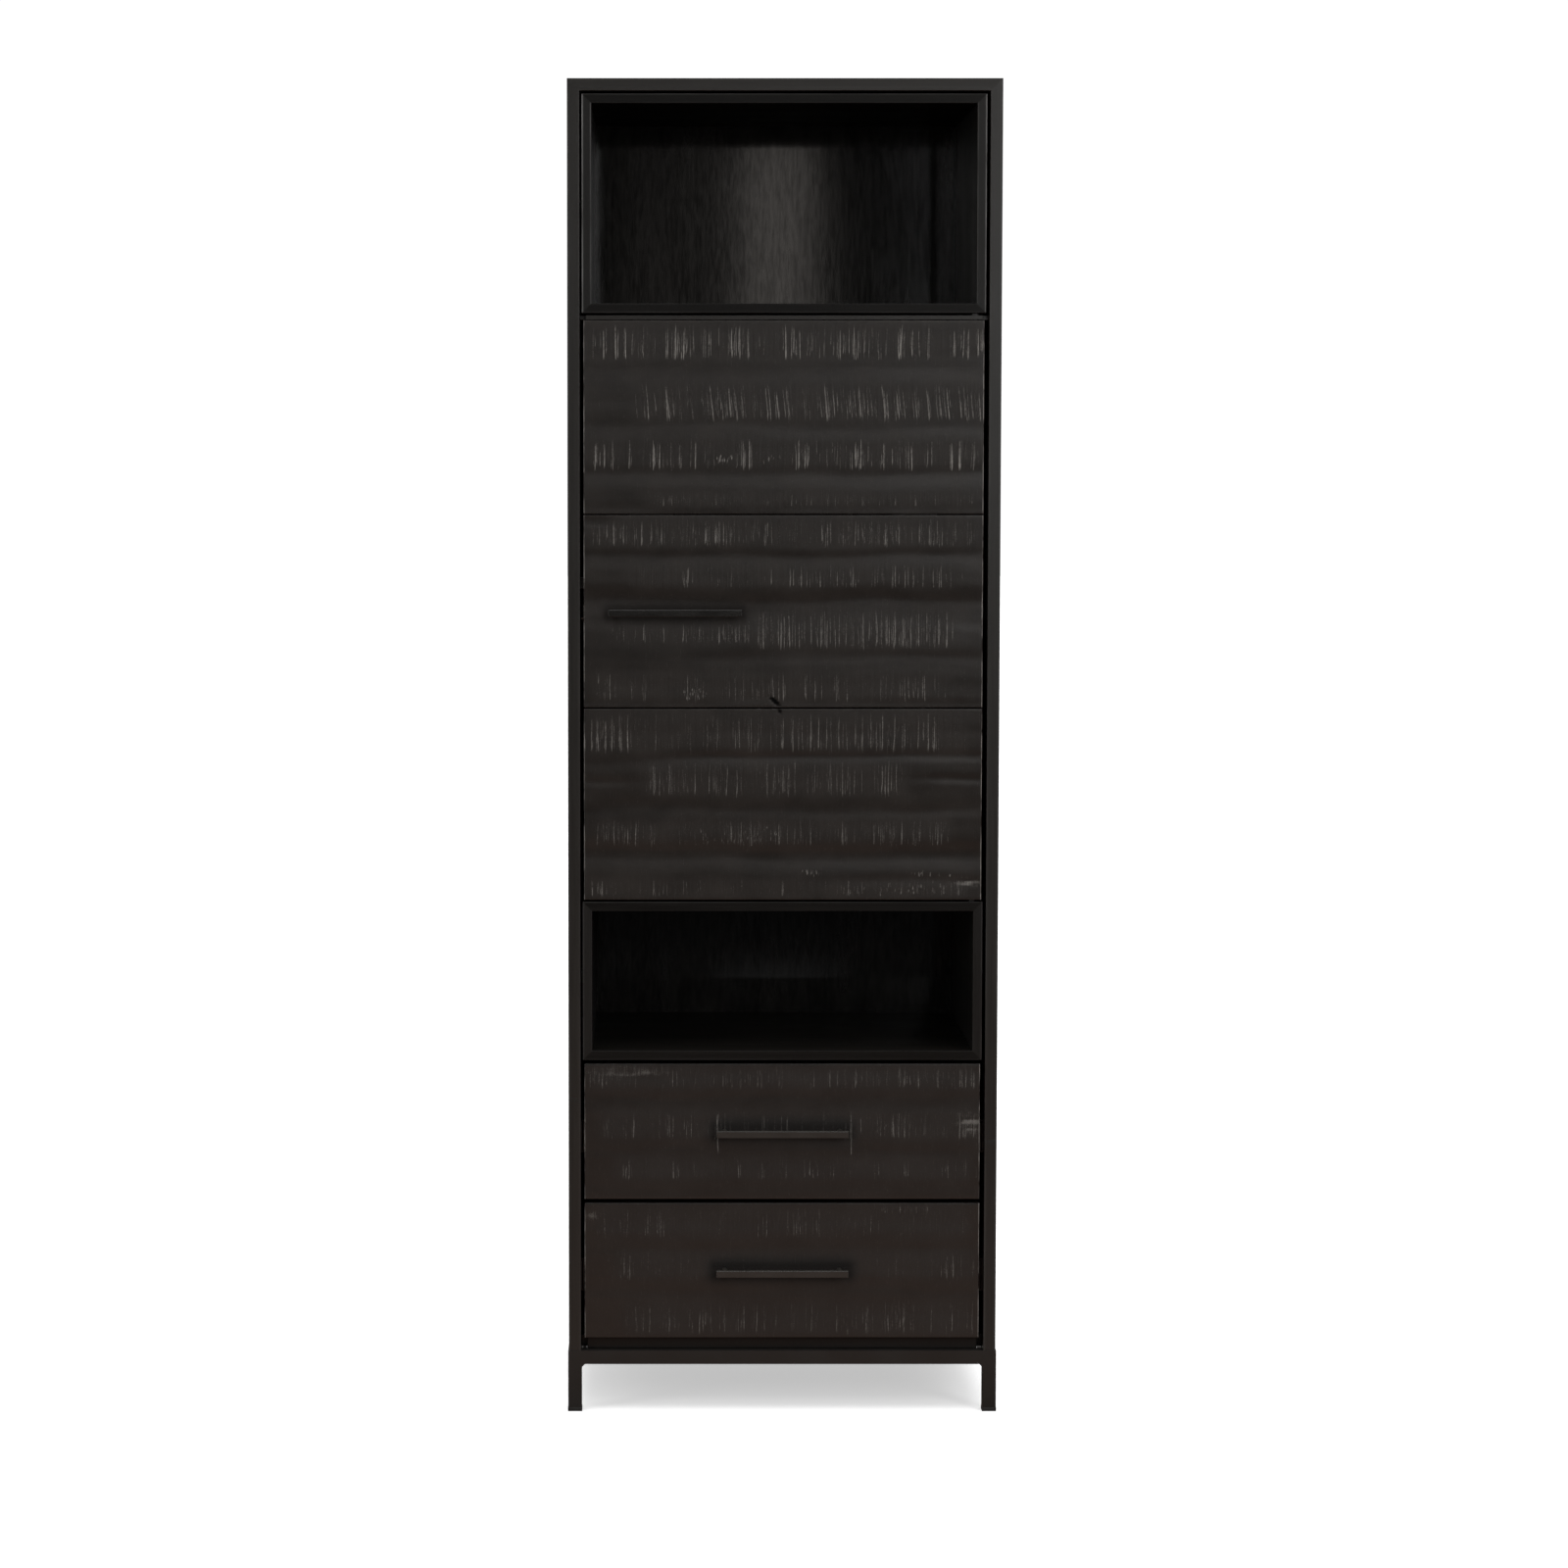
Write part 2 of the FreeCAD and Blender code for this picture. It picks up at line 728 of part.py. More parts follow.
def runner_pair(prefix, middle):
    """The outer, middle and inner members of a drawer's two telescopic runners."""
    step = "(runner_sheet + runner_ball_gap)"
    sections = {
        "outers": ("0", "outer_reach", "+", "runner_height / 2"),
        "middles": ("middle_start", "middle_reach", "+", f"runner_height / 2 - {step}"),
        "inners": ("runner_thickness", "inner_reach", "-", f"runner_height / 2 - 2 * {step}"),
    }
    members = []
    for kind, (web, tip, inward, half_height) in sections.items():
        label = f"{prefix}_runner_{kind}"
        pair = []
        for side, sign in (("left", "-1"), ("right", "1")):
            name = f"{label}_{side}"
            pair.append(channel(name, sign, web, tip, inward, half_height, middle))
        members.append(group(label, pair))
    return members


def drawer_side(label, sign, low):
    """A drawer side with the groove that holds the drawer's floor."""
    owner = body(label)
    drawing = sketch_on(owner, "XZ_Plane", "section")
    outer = f"{sign} * {HALF_BOX}"
    inner = f"{sign} * ({HALF_BOX} - box_wall)"
    groove = f"{sign} * ({HALF_BOX} - box_wall + groove_depth)"
    draw_outline(drawing, [
        (outer, "0"),
        (inner, "0"),
        (inner, "floor_lift"),
        (groove, "floor_lift"),
        (groove, "floor_lift + floor_thickness"),
        (inner, "floor_lift + floor_thickness"),
        (inner, "box_height"),
        (outer, "box_height"),
    ])
    pad(owner, drawing, "box_length", backwards=True)
    place(owner, ("0", f"{FRONT} + drawer_thickness", low))
    return owner


def drawer(prefix, bottom):
    """Front, two sides, back, floor and handle of one drawer, with its runners."""
    low = f"{bottom} + box_lift"
    front_blank = box(
        prefix + "_front_blank",
        ("drawer_width", "drawer_thickness", "drawer_height"),
        ("front_shift - drawer_width / 2", FRONT, bottom))
    bar, screws = handle(
        prefix + "_handle", "front_shift", f"{bottom} + drawer_height / 2")
    front = drilled(prefix + "_front", front_blank, screws)
    inside = f"({HALF_BOX} - box_wall)"
    floor_half = f"({inside} + groove_depth)"
    back = box(
        prefix + "_back",
        (f"2 * {inside}", "box_wall", "box_height - floor_lift - floor_thickness"),
        (f"-{inside}", f"{FRONT} + drawer_thickness + box_length - box_wall",
         f"{low} + floor_lift + floor_thickness"))
    floor = box(
        prefix + "_floor",
        (f"2 * {floor_half}", "box_length", "floor_thickness"),
        (f"-{floor_half}", f"{FRONT} + drawer_thickness", f"{low} + floor_lift"))
    left = drawer_side(prefix + "_left", "-1", low)
    right = drawer_side(prefix + "_right", "1", low)
    fixings = group(prefix + "_handle_screws", screws)
    return [front, left, right, back, floor, bar, fixings]


# ---------------------------------------------------------------- whole cabinet

def carcass_parts():
    """Side, top and back panels, both niches and what fixes them together."""
    upper = niche("upper_niche", "upper_niche_floor", "upper_niche_height", "upper_niche_top")
    lower = niche(
        "lower_niche", "lower_niche_floor", "lower_niche_height", "lower_niche_top_blank")
    screws, spacers = niche_fixings([
        ("upper_niche", "upper_niche_floor", "upper_niche_height"),
        ("lower_niche", "lower_niche_floor", "lower_niche_height"),
    ])
    shelf_supports = shelf_pins()
    frame_screws = base_screws()
    pivots = hinge_pins()
    parts = [screws, spacers, shelf_supports, frame_screws, pivots]
    for name, blank in side_panels().items():
        parts.append(drilled(name, blank, [screws, shelf_supports, frame_screws]))
    for prefix, boards in (("upper_niche", upper), ("lower_niche", lower)):
        parts.append(boards["bottom"])
        for side in ("left", "right"):
            parts.append(drilled(f"{prefix}_{side}", boards[side], [screws]))
    parts.append(upper["top"])
    parts.append(drilled("lower_niche_top", lower["top"], [pivots]))
    divider = notched_board(
        "upper_divider_blank", "divider_bottom", "divider_thickness", "divider_setback")
    parts.append(drilled("upper_divider", divider, [pivots]))
    parts.append(
        notched_board("bottom_panel", "base_height", "bottom_thickness", "bottom_setback"))
    parts += [top_panel(), back_panel(), shelf()]
    for side, x_sign in (("left", -1), ("right", 1)):
        parts.append(drilled(f"base_rail_{side}", side_rail(f"base_rail_{side}", x_sign),
                             [frame_screws]))
    return parts


def base_parts():
    """Legs, front and back rails and foot caps."""
    parts = [cross_rail("base_rail_front", False), cross_rail("base_rail_back", True)]
    for side, x_sign in (("left", -1), ("right", 1)):
        parts.append(leg(f"leg_front_{side}", x_sign, False))
        parts.append(leg(f"leg_back_{side}", x_sign, True))
    parts.append(foot_caps())
    return parts


def door_parts():
    """Boards, battens, handle, bushes and catch of the door."""
    bar, handle_screws = handle("door_handle", "door_handle_x", "door_handle_z")
    joiners = batten_screws()
    seat_low, seat_high = bush_seats()
    low_board, middle_board, top_board = door_boards()
    parts = [
        drilled("door_board_bottom", low_board, [joiners, seat_low]),
        drilled("door_board_middle", middle_board, [joiners] + handle_screws),
        drilled("door_board_top", top_board, [joiners, seat_high]),
    ]
    for name, blank in battens().items():
        parts.append(drilled(name, blank, [joiners]))
    parts += [bar, group("door_handle_screws", handle_screws), hinge_bushes(), joiners]
    parts += list(catch_and_strike())
    return parts


def build():
    """Make every sub-part and return them; each one's label names its file."""
    make_sheet()
    parts = carcass_parts() + base_parts() + door_parts()
    for prefix in ("upper_drawer", "lower_drawer"):
        bottom = f"{prefix}_bottom"
        parts += drawer(prefix, bottom)
        parts += runner_pair(prefix, f"{bottom} + box_lift + box_height / 2")
    DOC.recompute()
    return parts


def check(parts):
    """Stop before anything is written if an object failed or a shape is unsound."""
    for item in DOC.Objects:
        if "Invalid" in item.State or "Error" in item.State:
            raise RuntimeError(f"{item.Label} failed to compute")
    labels = [piece.Label for piece in parts]
    if len(set(labels)) != len(labels):
        raise RuntimeError("two sub-parts share a label")
    for piece in parts:
        if piece.Shape.isNull() or not piece.Shape.isValid() or not piece.Shape.Solids:
            raise RuntimeError(f"{piece.Label} has no sound shape")


def write(parts):
    os.makedirs("parts", exist_ok=True)
    for piece in parts:
        piece.Shape.exportStep(f"parts/{piece.Label}.step")
    print(len(parts), "sub-parts written")


cabinet = build()
check(cabinet)
write(cabinet)
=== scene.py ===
import math
import random

import bmesh
import bpy
import numpy as np
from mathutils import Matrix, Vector


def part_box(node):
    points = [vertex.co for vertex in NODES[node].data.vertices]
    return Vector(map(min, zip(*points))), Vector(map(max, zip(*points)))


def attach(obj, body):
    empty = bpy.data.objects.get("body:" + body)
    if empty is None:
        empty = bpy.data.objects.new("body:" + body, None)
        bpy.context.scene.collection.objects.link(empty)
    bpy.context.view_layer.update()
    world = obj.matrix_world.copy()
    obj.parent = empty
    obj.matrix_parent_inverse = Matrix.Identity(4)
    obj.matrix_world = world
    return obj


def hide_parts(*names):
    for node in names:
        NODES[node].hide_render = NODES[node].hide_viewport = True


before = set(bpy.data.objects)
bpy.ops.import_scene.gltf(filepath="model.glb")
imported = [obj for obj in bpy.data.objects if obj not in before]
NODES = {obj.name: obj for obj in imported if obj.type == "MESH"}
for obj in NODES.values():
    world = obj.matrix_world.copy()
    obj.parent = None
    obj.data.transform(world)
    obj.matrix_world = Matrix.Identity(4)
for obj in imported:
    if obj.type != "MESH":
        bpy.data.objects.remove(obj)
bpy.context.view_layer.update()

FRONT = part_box("side_panel_left")[0].y
MM = 0.001


# ---------------------------------------------------------------- materials

class Finish:
    """A material's node tree, with short ways to add the nodes that it needs."""

    def __init__(self, name):
        self.material = bpy.data.materials.new(name)
        self.material.use_nodes = True
        self.tree = self.material.node_tree
        self.shader = self.tree.nodes["Principled BSDF"]
        self.place = self.tree.nodes.new("ShaderNodeTexCoord").outputs["Object"]

    def node(self, kind, inputs=None, **settings):
        made = self.tree.nodes.new("ShaderNode" + kind)
        for key, value in settings.items():
            setattr(made, key, value)
        for key, value in (inputs or {}).items():
            if isinstance(value, bpy.types.NodeSocket):
                self.tree.links.new(value, made.inputs[key])
            else:
                made.inputs[key].default_value = value
        return made

    def scaled(self, stretch):
        """The object's own coordinates, times one factor an axis."""
        return self.node("Mapping", {"Vector": self.place, "Scale": stretch}).outputs["Vector"]

    def noise(self, stretch, detail=3.0, roughness=0.55, distortion=0.0):
        inputs = {"Vector": self.scaled(stretch), "Scale": 1.0, "Detail": detail,
                  "Roughness": roughness, "Distortion": distortion}
        return self.node("TexNoise", inputs).outputs["Fac"]

    def spread(self, value, low, high, start=0.3, end=0.7):
        """Maps a pattern's start..end on to low..high."""
        inputs = {"Value": value, "From Min": start, "From Max": end, "To Min": low, "To Max": high}
        return self.node("MapRange", inputs).outputs["Result"]

    def colours(self, value, *stops):
        """A colour ramp through (position, (r, g, b)) stops."""
        made = self.node("ValToRGB", {"Fac": value})
        ramp = made.color_ramp
        while len(ramp.elements) < len(stops):
            ramp.elements.new(1.0)
        for element, (position, colour) in zip(ramp.elements, stops):
            element.position = position
            element.color = (*colour, 1.0)
        return made.outputs["Color"]

    def blend(self, share, low, high):
        """Mixes two colours; share is how much of the second one."""
        return self.node("Mix", {0: share, 6: low, 7: high}, data_type="RGBA").outputs[2]

    def maths(self, operation, first, second):
        return self.node("Math", {0: first, 1: second}, operation=operation).outputs[0]

    def attribute(self, name):
        return self.node("Attribute", attribute_name=name).outputs["Fac"]

    def bump(self, height, distance, strength, below=None):
        inputs = {"Height": height, "Distance": distance, "Strength": strength}
        if below is not None:
            inputs["Normal"] = below
        return self.node("Bump", inputs).outputs["Normal"]

    def vary(self, socket, value):
        """Drives one of the shader's sockets by a pattern."""
        self.tree.links.new(value, self.shader.inputs[socket])

    def finish(self, colour, roughness, normal, **constants):
        """Links what is given, and sets the rest, with _ for a space in a socket's name."""
        for key, value in (("Base Color", colour), ("Roughness", roughness), ("Normal", normal)):
            if value is not None:
                self.vary(key, value)
        for key, value in constants.items():
            self.shader.inputs[key.replace("_", " ")].default_value = value
        return self.material


def grey(level, warmth=0.0):
    """A near-neutral colour; warmth tips it from blue to red by that share."""
    return (level * (1 + warmth), level, level * (1 - warmth))


def grained(name, along, dark, light, rough, warmth, gloss, pore=40 * MM * MM, run=9.0,
            streaky=0.0, inside=None):
    """Black lacquer over wood: fine streaks along one axis, pores showing through.

    pore: the streaks' depth in the bump. run: how often the pattern changes along a streak, a metre.
    streaky: how much the gloss varies from streak to streak.
    inside: the gloss behind a board's front edge, where the lacquer is rubbed down.
    """
    made = Finish(name)
    stretch = [260.0, 260.0, 260.0]
    stretch["xyz".index(along)] = run
    streaks = made.noise(stretch, detail=4.0, roughness=0.65, distortion=0.4)
    broad = made.noise([axis * 0.12 for axis in stretch], detail=2.0)
    clouds = made.noise((5.0, 5.0, 3.0), detail=3.0)
    mixed = made.maths("ADD", made.maths("MULTIPLY", streaks, 0.5), made.maths("MULTIPLY", broad, 0.5))
    colour = made.colours(mixed, (0.35, grey(dark, warmth)), (0.62, grey(light, warmth)))
    # Lighter grey on worn arrises; on the upper niche's arrises this is partly a painted highlight.
    colour = made.blend(made.attribute("worn"), colour, (0.36, 0.35, 0.34, 1.0))
    rubbed = made.maths("ADD", made.maths("MULTIPLY", clouds, 0.6), made.maths("MULTIPLY", streaks, 0.4))
    roughness = made.spread(rubbed, rough * 0.85, rough * 1.2, 0.35, 0.65)
    normal = made.bump(streaks, pore, 0.6, made.bump(clouds, 250 * MM * MM, 0.5))
    if streaky:
        sheen = made.spread(streaks, gloss * (1 - streaky), gloss * (1 + streaky), 0.36, 0.64)
        made.vary("Specular IOR Level", sheen)
    if inside is not None:
        sheen = made.spread(made.attribute("rim"), inside, gloss, 0.0, 1.0)
        made.vary("Specular IOR Level", sheen)
    return made.finish(colour, roughness, normal, Specular_IOR_Level=gloss)


def sawn_finish(name, dark, light, gloss):
    """Rough-sawn boards stained nearly black, the raised saw marks rubbed through to grey."""
    made = Finish(name)
    fibres = made.noise((900.0, 300.0, 26.0), detail=5.0, roughness=0.7)
    mottle = made.noise((16.0, 16.0, 22.0), detail=4.0, roughness=0.6)
    grit = made.noise((1300.0, 900.0, 650.0), detail=2.0)
    stain = made.colours(mottle, (0.32, dark), (0.68, light))
    bare = made.colours(fibres, (0.3, (0.2, 0.182, 0.165)), (0.7, (0.46, 0.43, 0.395)))
    hairs = made.noise((1500.0, 300.0, 60.0), detail=3.0, roughness=0.6)
    torn = made.maths("ADD", made.maths("MULTIPLY", hairs, 0.6), made.maths("MULTIPLY", grit, 0.4))
    rubbed = made.maths("SUBTRACT", made.attribute("worn"), made.spread(torn, -0.04, 0.24, 0.36, 0.64))
    worn = made.spread(rubbed, 0.0, 1.0, 0.0, 0.5)
    colour = made.blend(worn, stain, bare)
    # Near-black at knots, and painted shade round the handles from the same values.
    colour = made.blend(made.attribute("knot_and_shade"), colour, (0.004, 0.004, 0.004, 1.0))
    planed = made.spread(mottle, 0.29, 0.34, 0.3, 0.7)
    dull_knots_and_shade = made.maths("MULTIPLY", made.attribute("knot_and_shade"), 0.5)
    sawn = made.maths("ADD", made.maths("MULTIPLY", made.attribute("rough"), 0.14), dull_knots_and_shade)
    roughness = made.maths("ADD", planed, sawn)
    normal = made.bump(fibres, 60 * MM * MM, 0.7, made.bump(grit, 30 * MM * MM, 0.5))
    # Less gloss at knots and in the painted shade round the handles.
    sheen = made.spread(made.attribute("knot_and_shade"), gloss, 0.02, 0.0, 0.8)
    made.vary("Specular IOR Level", sheen)
    return made.finish(colour, roughness, normal, Specular_IOR_Level=gloss)


def plywood(name, across):
    """Dark stained plywood, its veneers stacked along the across axis and showing on the edges."""
    made = Finish(name)
    stretch = [4.0, 4.0, 4.0]
    stretch["xyz".index(across)] = 330.0
    veneers = made.node("TexWave", {"Vector": made.scaled(stretch), "Scale": 1.0, "Distortion": 0.6,
                                    "Detail": 1.0}, bands_direction=across.upper()).outputs["Fac"]
    lengthwise = (160.0, 9.0, 60.0) if across == "z" else (60.0, 9.0, 160.0)
    grain = made.noise(lengthwise, detail=5.0, roughness=0.65)
    mixed = made.maths("ADD", made.maths("MULTIPLY", veneers, 0.35), made.maths("MULTIPLY", grain, 0.65))
    colour = made.colours(mixed, (0.3, (0.02, 0.016, 0.013)), (0.7, (0.062, 0.05, 0.04)))
    roughness = made.spread(grain, 0.45, 0.62)
    return made.finish(colour, roughness, made.bump(grain, 60 * MM * MM, 0.6))


def powder_coat():
    made = Finish("frame_steel")
    peel = made.noise((900.0, 900.0, 900.0), detail=2.0)
    clouds = made.noise((14.0, 14.0, 14.0), detail=3.0)
    colour = made.colours(clouds, (0.3, (0.013, 0.0117, 0.0105)), (0.7, (0.018, 0.0162, 0.0145)))
    normal = made.bump(peel, 50 * MM * MM, 0.5)
    return made.finish(colour, made.spread(clouds, 0.36, 0.48), normal, Specular_IOR_Level=0.4)


def black_bar(name, dark, light, gloss, rough):
    """Satin black paint over steel drawn along x."""
    made = Finish(name)
    brushed = made.noise((12.0, 900.0, 900.0), detail=2.0)
    clouds = made.noise((30.0, 60.0, 60.0), detail=2.0)
    colour = made.colours(clouds, (0.3, grey(dark, 0.12)), (0.7, grey(light, 0.12)))
    normal = made.bump(brushed, 4 * MM * MM, 0.5)
    return made.finish(colour, made.spread(clouds, rough, rough + 0.06), normal, Specular_IOR_Level=gloss)


def metal(name, dark, light, rough, brushed=(900.0, 14.0, 900.0)):
    made = Finish(name)
    lines = made.noise(brushed, detail=4.0)
    clouds = made.noise((70.0, 70.0, 70.0), detail=3.0)
    colour = made.colours(clouds, (0.3, dark), (0.7, light))
    roughness = made.spread(lines, rough - 0.06, rough + 0.08)
    return made.finish(colour, roughness, made.bump(lines, 12 * MM * MM, 0.5), Metallic=1.0)


def moulded():
    made = Finish("black_plastic")
    grain = made.noise((1100.0, 1100.0, 1100.0), detail=2.0)
    clouds = made.noise((40.0, 40.0, 40.0))
    colour = made.colours(clouds, (0.3, grey(0.012)), (0.7, grey(0.02)))
    return made.finish(colour, made.spread(clouds, 0.42, 0.55), made.bump(grain, 40 * MM * MM, 0.6))


CASE_UP = grained("black_case_upright", "z", dark=0.0145, light=0.022, rough=0.34, warmth=0.13, gloss=0.36)
CASE_ACROSS = grained("black_case_level", "x", dark=0.0145, light=0.022, rough=0.34, warmth=0.13, gloss=0.36)
LINING_UP = grained("niche_lining_upright", "z", dark=0.007, light=0.012, rough=0.4, warmth=0.1, gloss=0.25,
                    pore=8 * MM * MM)
LINING_ACROSS = grained("niche_lining_level", "x", dark=0.005, light=0.009, rough=0.4, warmth=0.12,
                        gloss=0.13, pore=8 * MM * MM, inside=0.02)
# A darker copy of the case lacquer for the recessed bottom panel: painted shade for the recess.
BOTTOM_FACE_SHADED = grained("black_case_bottom_painted_shade", "x", dark=0.007, light=0.012, rough=0.4, warmth=0.12, gloss=0.22)
BACK_FACE = grained("niche_lining_back", "z", dark=0.002, light=0.016, rough=0.075, warmth=0.08, gloss=0.5,
                    pore=5 * MM * MM, run=40.0, streaky=0.28)
SAWN_DOOR = sawn_finish("sawn_front_door", (0.0155, 0.0125, 0.0105), (0.024, 0.0193, 0.0163), gloss=0.36)
SAWN_DRAWER = sawn_finish("sawn_front_drawers", (0.0095, 0.008, 0.0068), (0.014, 0.0117, 0.01), gloss=0.52)
PLY_X = plywood("drawer_box_sides", "x")
PLY_Y = plywood("drawer_box_back", "y")
PLY_Z = plywood("drawer_box_floor", "z")
STEEL = powder_coat()
# One handle paint in two copies: darker on the door as painted shade, lighter on the drawers as painted
# light, for how each handle is lit.
BAR_DOOR_SHADED = black_bar("handle_black_door_shaded", 0.009, 0.012, gloss=0.5, rough=0.2)
BAR_DRAWERS_LIT = black_bar("handle_black_drawers_lit", 0.021, 0.028, gloss=0.55, rough=0.28)
ZINC = metal("bright_steel", (0.46, 0.47, 0.48), (0.62, 0.63, 0.64), 0.36)
SCREW = metal("screw_black", (0.03, 0.03, 0.03), (0.07, 0.068, 0.066), 0.38, (300.0, 300.0, 300.0))
RUNNER = metal("runner_steel", (0.02, 0.02, 0.021), (0.045, 0.045, 0.047), 0.34)
BRASS = metal("bush_brass", (0.55, 0.4, 0.18), (0.75, 0.58, 0.3), 0.36, (900.0, 900.0, 30.0))
PLASTIC = moulded()


# ------------------------------------------------------------------- pieces

SHARP_ANGLE = 32


def add_piece(name, vertices, faces, material, body, slot, *replaced):
    mesh = bpy.data.meshes.new(name)
    mesh.from_pydata(vertices, [], faces)
    mesh.validate()
    mesh.materials.append(material)
    mesh.shade_smooth()
    mesh.set_sharp_from_angle(angle=math.radians(SHARP_ANGLE))
    piece = bpy.data.objects.new(name, mesh)
    bpy.context.scene.collection.objects.link(piece)
    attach(piece, body)
    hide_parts(*replaced)
    return piece


def waves(values, seed, longest, shortest, count=5):
    """A smooth wandering line between about -1 and 1, from a few seeded sine waves."""
    draw = random.Random(seed)
    total = np.zeros_like(values)
    for step in range(count):
        length = longest * (shortest / longest) ** (step / (count - 1))
        total += np.sin(values * (2 * math.pi / length) + draw.uniform(0, 2 * math.pi)) / (1 + 0.5 * step)
    return total / 1.8


ARRIS_STEPS = 5
HOLD = 0.35 * MM  # from an arris to the next line of points, which keeps the shading tight
FACE_STEPS = 8
RUB_ON_FACE = 0.45  # the share of an arris's rubbing that runs on over the face
STATION = 0.012  # along a swept board, between its sections
SEAM_SHIFTS = (-0.9 * MM, -0.25 * MM, 0.25 * MM, 0.9 * MM)
SEAM_CUT = 0.12 * MM
UNEVEN = 0.06 * MM


def board_profile(thickness, front, back, radius):
    """Points (across, depth, edge, facing) round a board's section, arrises rounded.

    edge is 1 on the outer front arris, 2 on the inner one, 3 on the face between and 0 elsewhere.
    facing says how far a point of a front arris takes the rubbing, which runs on a little over the face.
    """
    points = []
    face = np.linspace(radius + HOLD, thickness - radius - HOLD, FACE_STEPS).tolist()
    corners = (
        (radius, front + radius, radius, 180, 1),
        (thickness - radius, front + radius, radius, 270, 2),
        (thickness - radius / 2, back - radius / 2, radius / 2, 0, 0),
        (radius / 2, back - radius / 2, radius / 2, 90, 0),
    )
    for across, depth, size, start, edge in corners:
        if edge == 2:
            points.append((face[0], front, 1, RUB_ON_FACE))
            points += [(across_face, front, 3, 0.0) for across_face in face[1:-1]]
            points.append((face[-1], front, 2, RUB_ON_FACE))
        if edge == 1:
            points.append((0.0, front + radius + HOLD, 0, 0.0))
        for step in range(ARRIS_STEPS + 1):
            angle = math.radians(start + 90 * step / ARRIS_STEPS)
            turned = step / ARRIS_STEPS
            facing = {1: turned, 2: 1 - turned}.get(edge, 0.0)
            points.append((across + size * math.cos(angle), depth + size * math.sin(angle), edge, facing))
        if edge == 2:
            points.append((thickness, front + radius + HOLD, 0, 0.0))
    return points


def swept_board(node, slot, material, along, outer, inward, span, mitres, radius, rubbed,
                crown=0.0, seams=(), *, seed):
    """A board whose section is swept along x or z, its ends mitred, its front arrises hand-rubbed.

    along: 0 for x, 2 for z. outer: the outer face's place on the other axis; inward: 1 or -1.
    span: the outer face's ends. mitres: how far each end steps in, per unit of thickness.
    rubbed: how worn the outer and inner front arrises are, shown lighter; on the upper niche this is partly a
    painted highlight. crown: how far the face falls back outwards.
    seams: places along the board of a fine joint across its face.
    """
    low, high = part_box(node)
    across_axis = 2 - along
    thickness = (high - low)[across_axis]
    profile = board_profile(thickness, low.y, high.y, radius)
    length = span[1] - span[0]
    places = set(np.linspace(0, length, max(12, int(length / STATION))).tolist())
    for seam in seams:
        places.update(seam - span[0] + shift for shift in SEAM_SHIFTS)
    places = np.array(sorted(places))
    rub = waves(places, seed, 0.35, 0.03)
    lean = waves(places, seed + 50, 1.1, 0.2)
    patchy = np.clip(0.75 + 0.45 * waves(places, seed + 90, 0.6, 0.03, 6), 0.15, 1.2)
    vertices, wear_and_highlight_at, rim_at = [], [], []
    for place, worn, out, patch in zip(places, rub, lean, patchy):
        in_seam = any(abs(place + span[0] - seam) < 0.3 * MM for seam in seams)
        sunk = (SEAM_CUT if in_seam else 0.0) + UNEVEN * (1 + worn) + UNEVEN * (1 + out)
        share = place / length
        for across, depth, edge, facing in profile:
            start = span[0] + mitres[0] * across
            end = span[1] - mitres[1] * across
            point = [0.0, 0.0, 0.0]
            point[along] = start + (end - start) * share
            point[across_axis] = outer + inward * across
            point[1] = depth + (sunk + crown * (1 - across / thickness) ** 2 if edge else 0.0)
            vertices.append(point)
            wear_and_highlight_at.append(patch * facing * (0.0, rubbed[0], rubbed[1], 0.0)[edge])
            rim_at.append(1.0 if edge else 0.0)
    ring = len(profile)
    faces = []
    last = (len(places) - 1) * ring
    for start in range(0, last, ring):
        for step in range(ring):
            after = (step + 1) % ring
            faces.append((start + step, start + after, start + ring + after, start + ring + step))
    faces.append(tuple(range(ring)))
    faces.append(tuple(reversed(range(last, last + ring))))
    piece = add_piece(node + "_board", vertices, faces, material, "cabinet", slot, node)
    face_outwards(piece)
    paint(piece, "worn", wear_and_highlight_at)
    paint(piece, "rim", rim_at)


def face_outwards(piece):
    work = bmesh.new()
    work.from_mesh(piece.data)
    bmesh.ops.recalc_face_normals(work, faces=work.faces)
    work.to_mesh(piece.data)
    work.free()


def paint(piece, name, values):
    """Stores one number a vertex, for the material to read."""
    data = piece.data.attributes.new(name, "FLOAT", "POINT")
    full = np.zeros(len(piece.data.vertices), np.float32)
    full[:len(values)] = values
    data.data.foreach_set("value", full)


CASE_ARRIS = 0.8 * MM
CASE_CROWN = 0.8 * MM
NICHE_ARRIS = 0.6 * MM


def build_case():
    """The mitred outer case: two sides and a top."""
    low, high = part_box("side_panel_left")
    right_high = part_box("side_panel_right")[1]
    swept_board("side_panel_left", "black_case", CASE_UP, 2, low.x, 1, (low.z, high.z), (0, 1),
                CASE_ARRIS, (0.16, 0.06), CASE_CROWN, seams=(0.4457,), seed=11)
    swept_board("side_panel_right", "black_case", CASE_UP, 2, right_high.x, -1, (low.z, high.z), (0, 1),
                CASE_ARRIS, (0.16, 0.1), CASE_CROWN, seams=(0.3859,), seed=12)
    swept_board("top_panel", "black_case", CASE_ACROSS, 0, high.z, -1, (low.x, right_high.x), (1, 1),
                CASE_ARRIS, (0.06, 0.03), CASE_CROWN, seed=13)


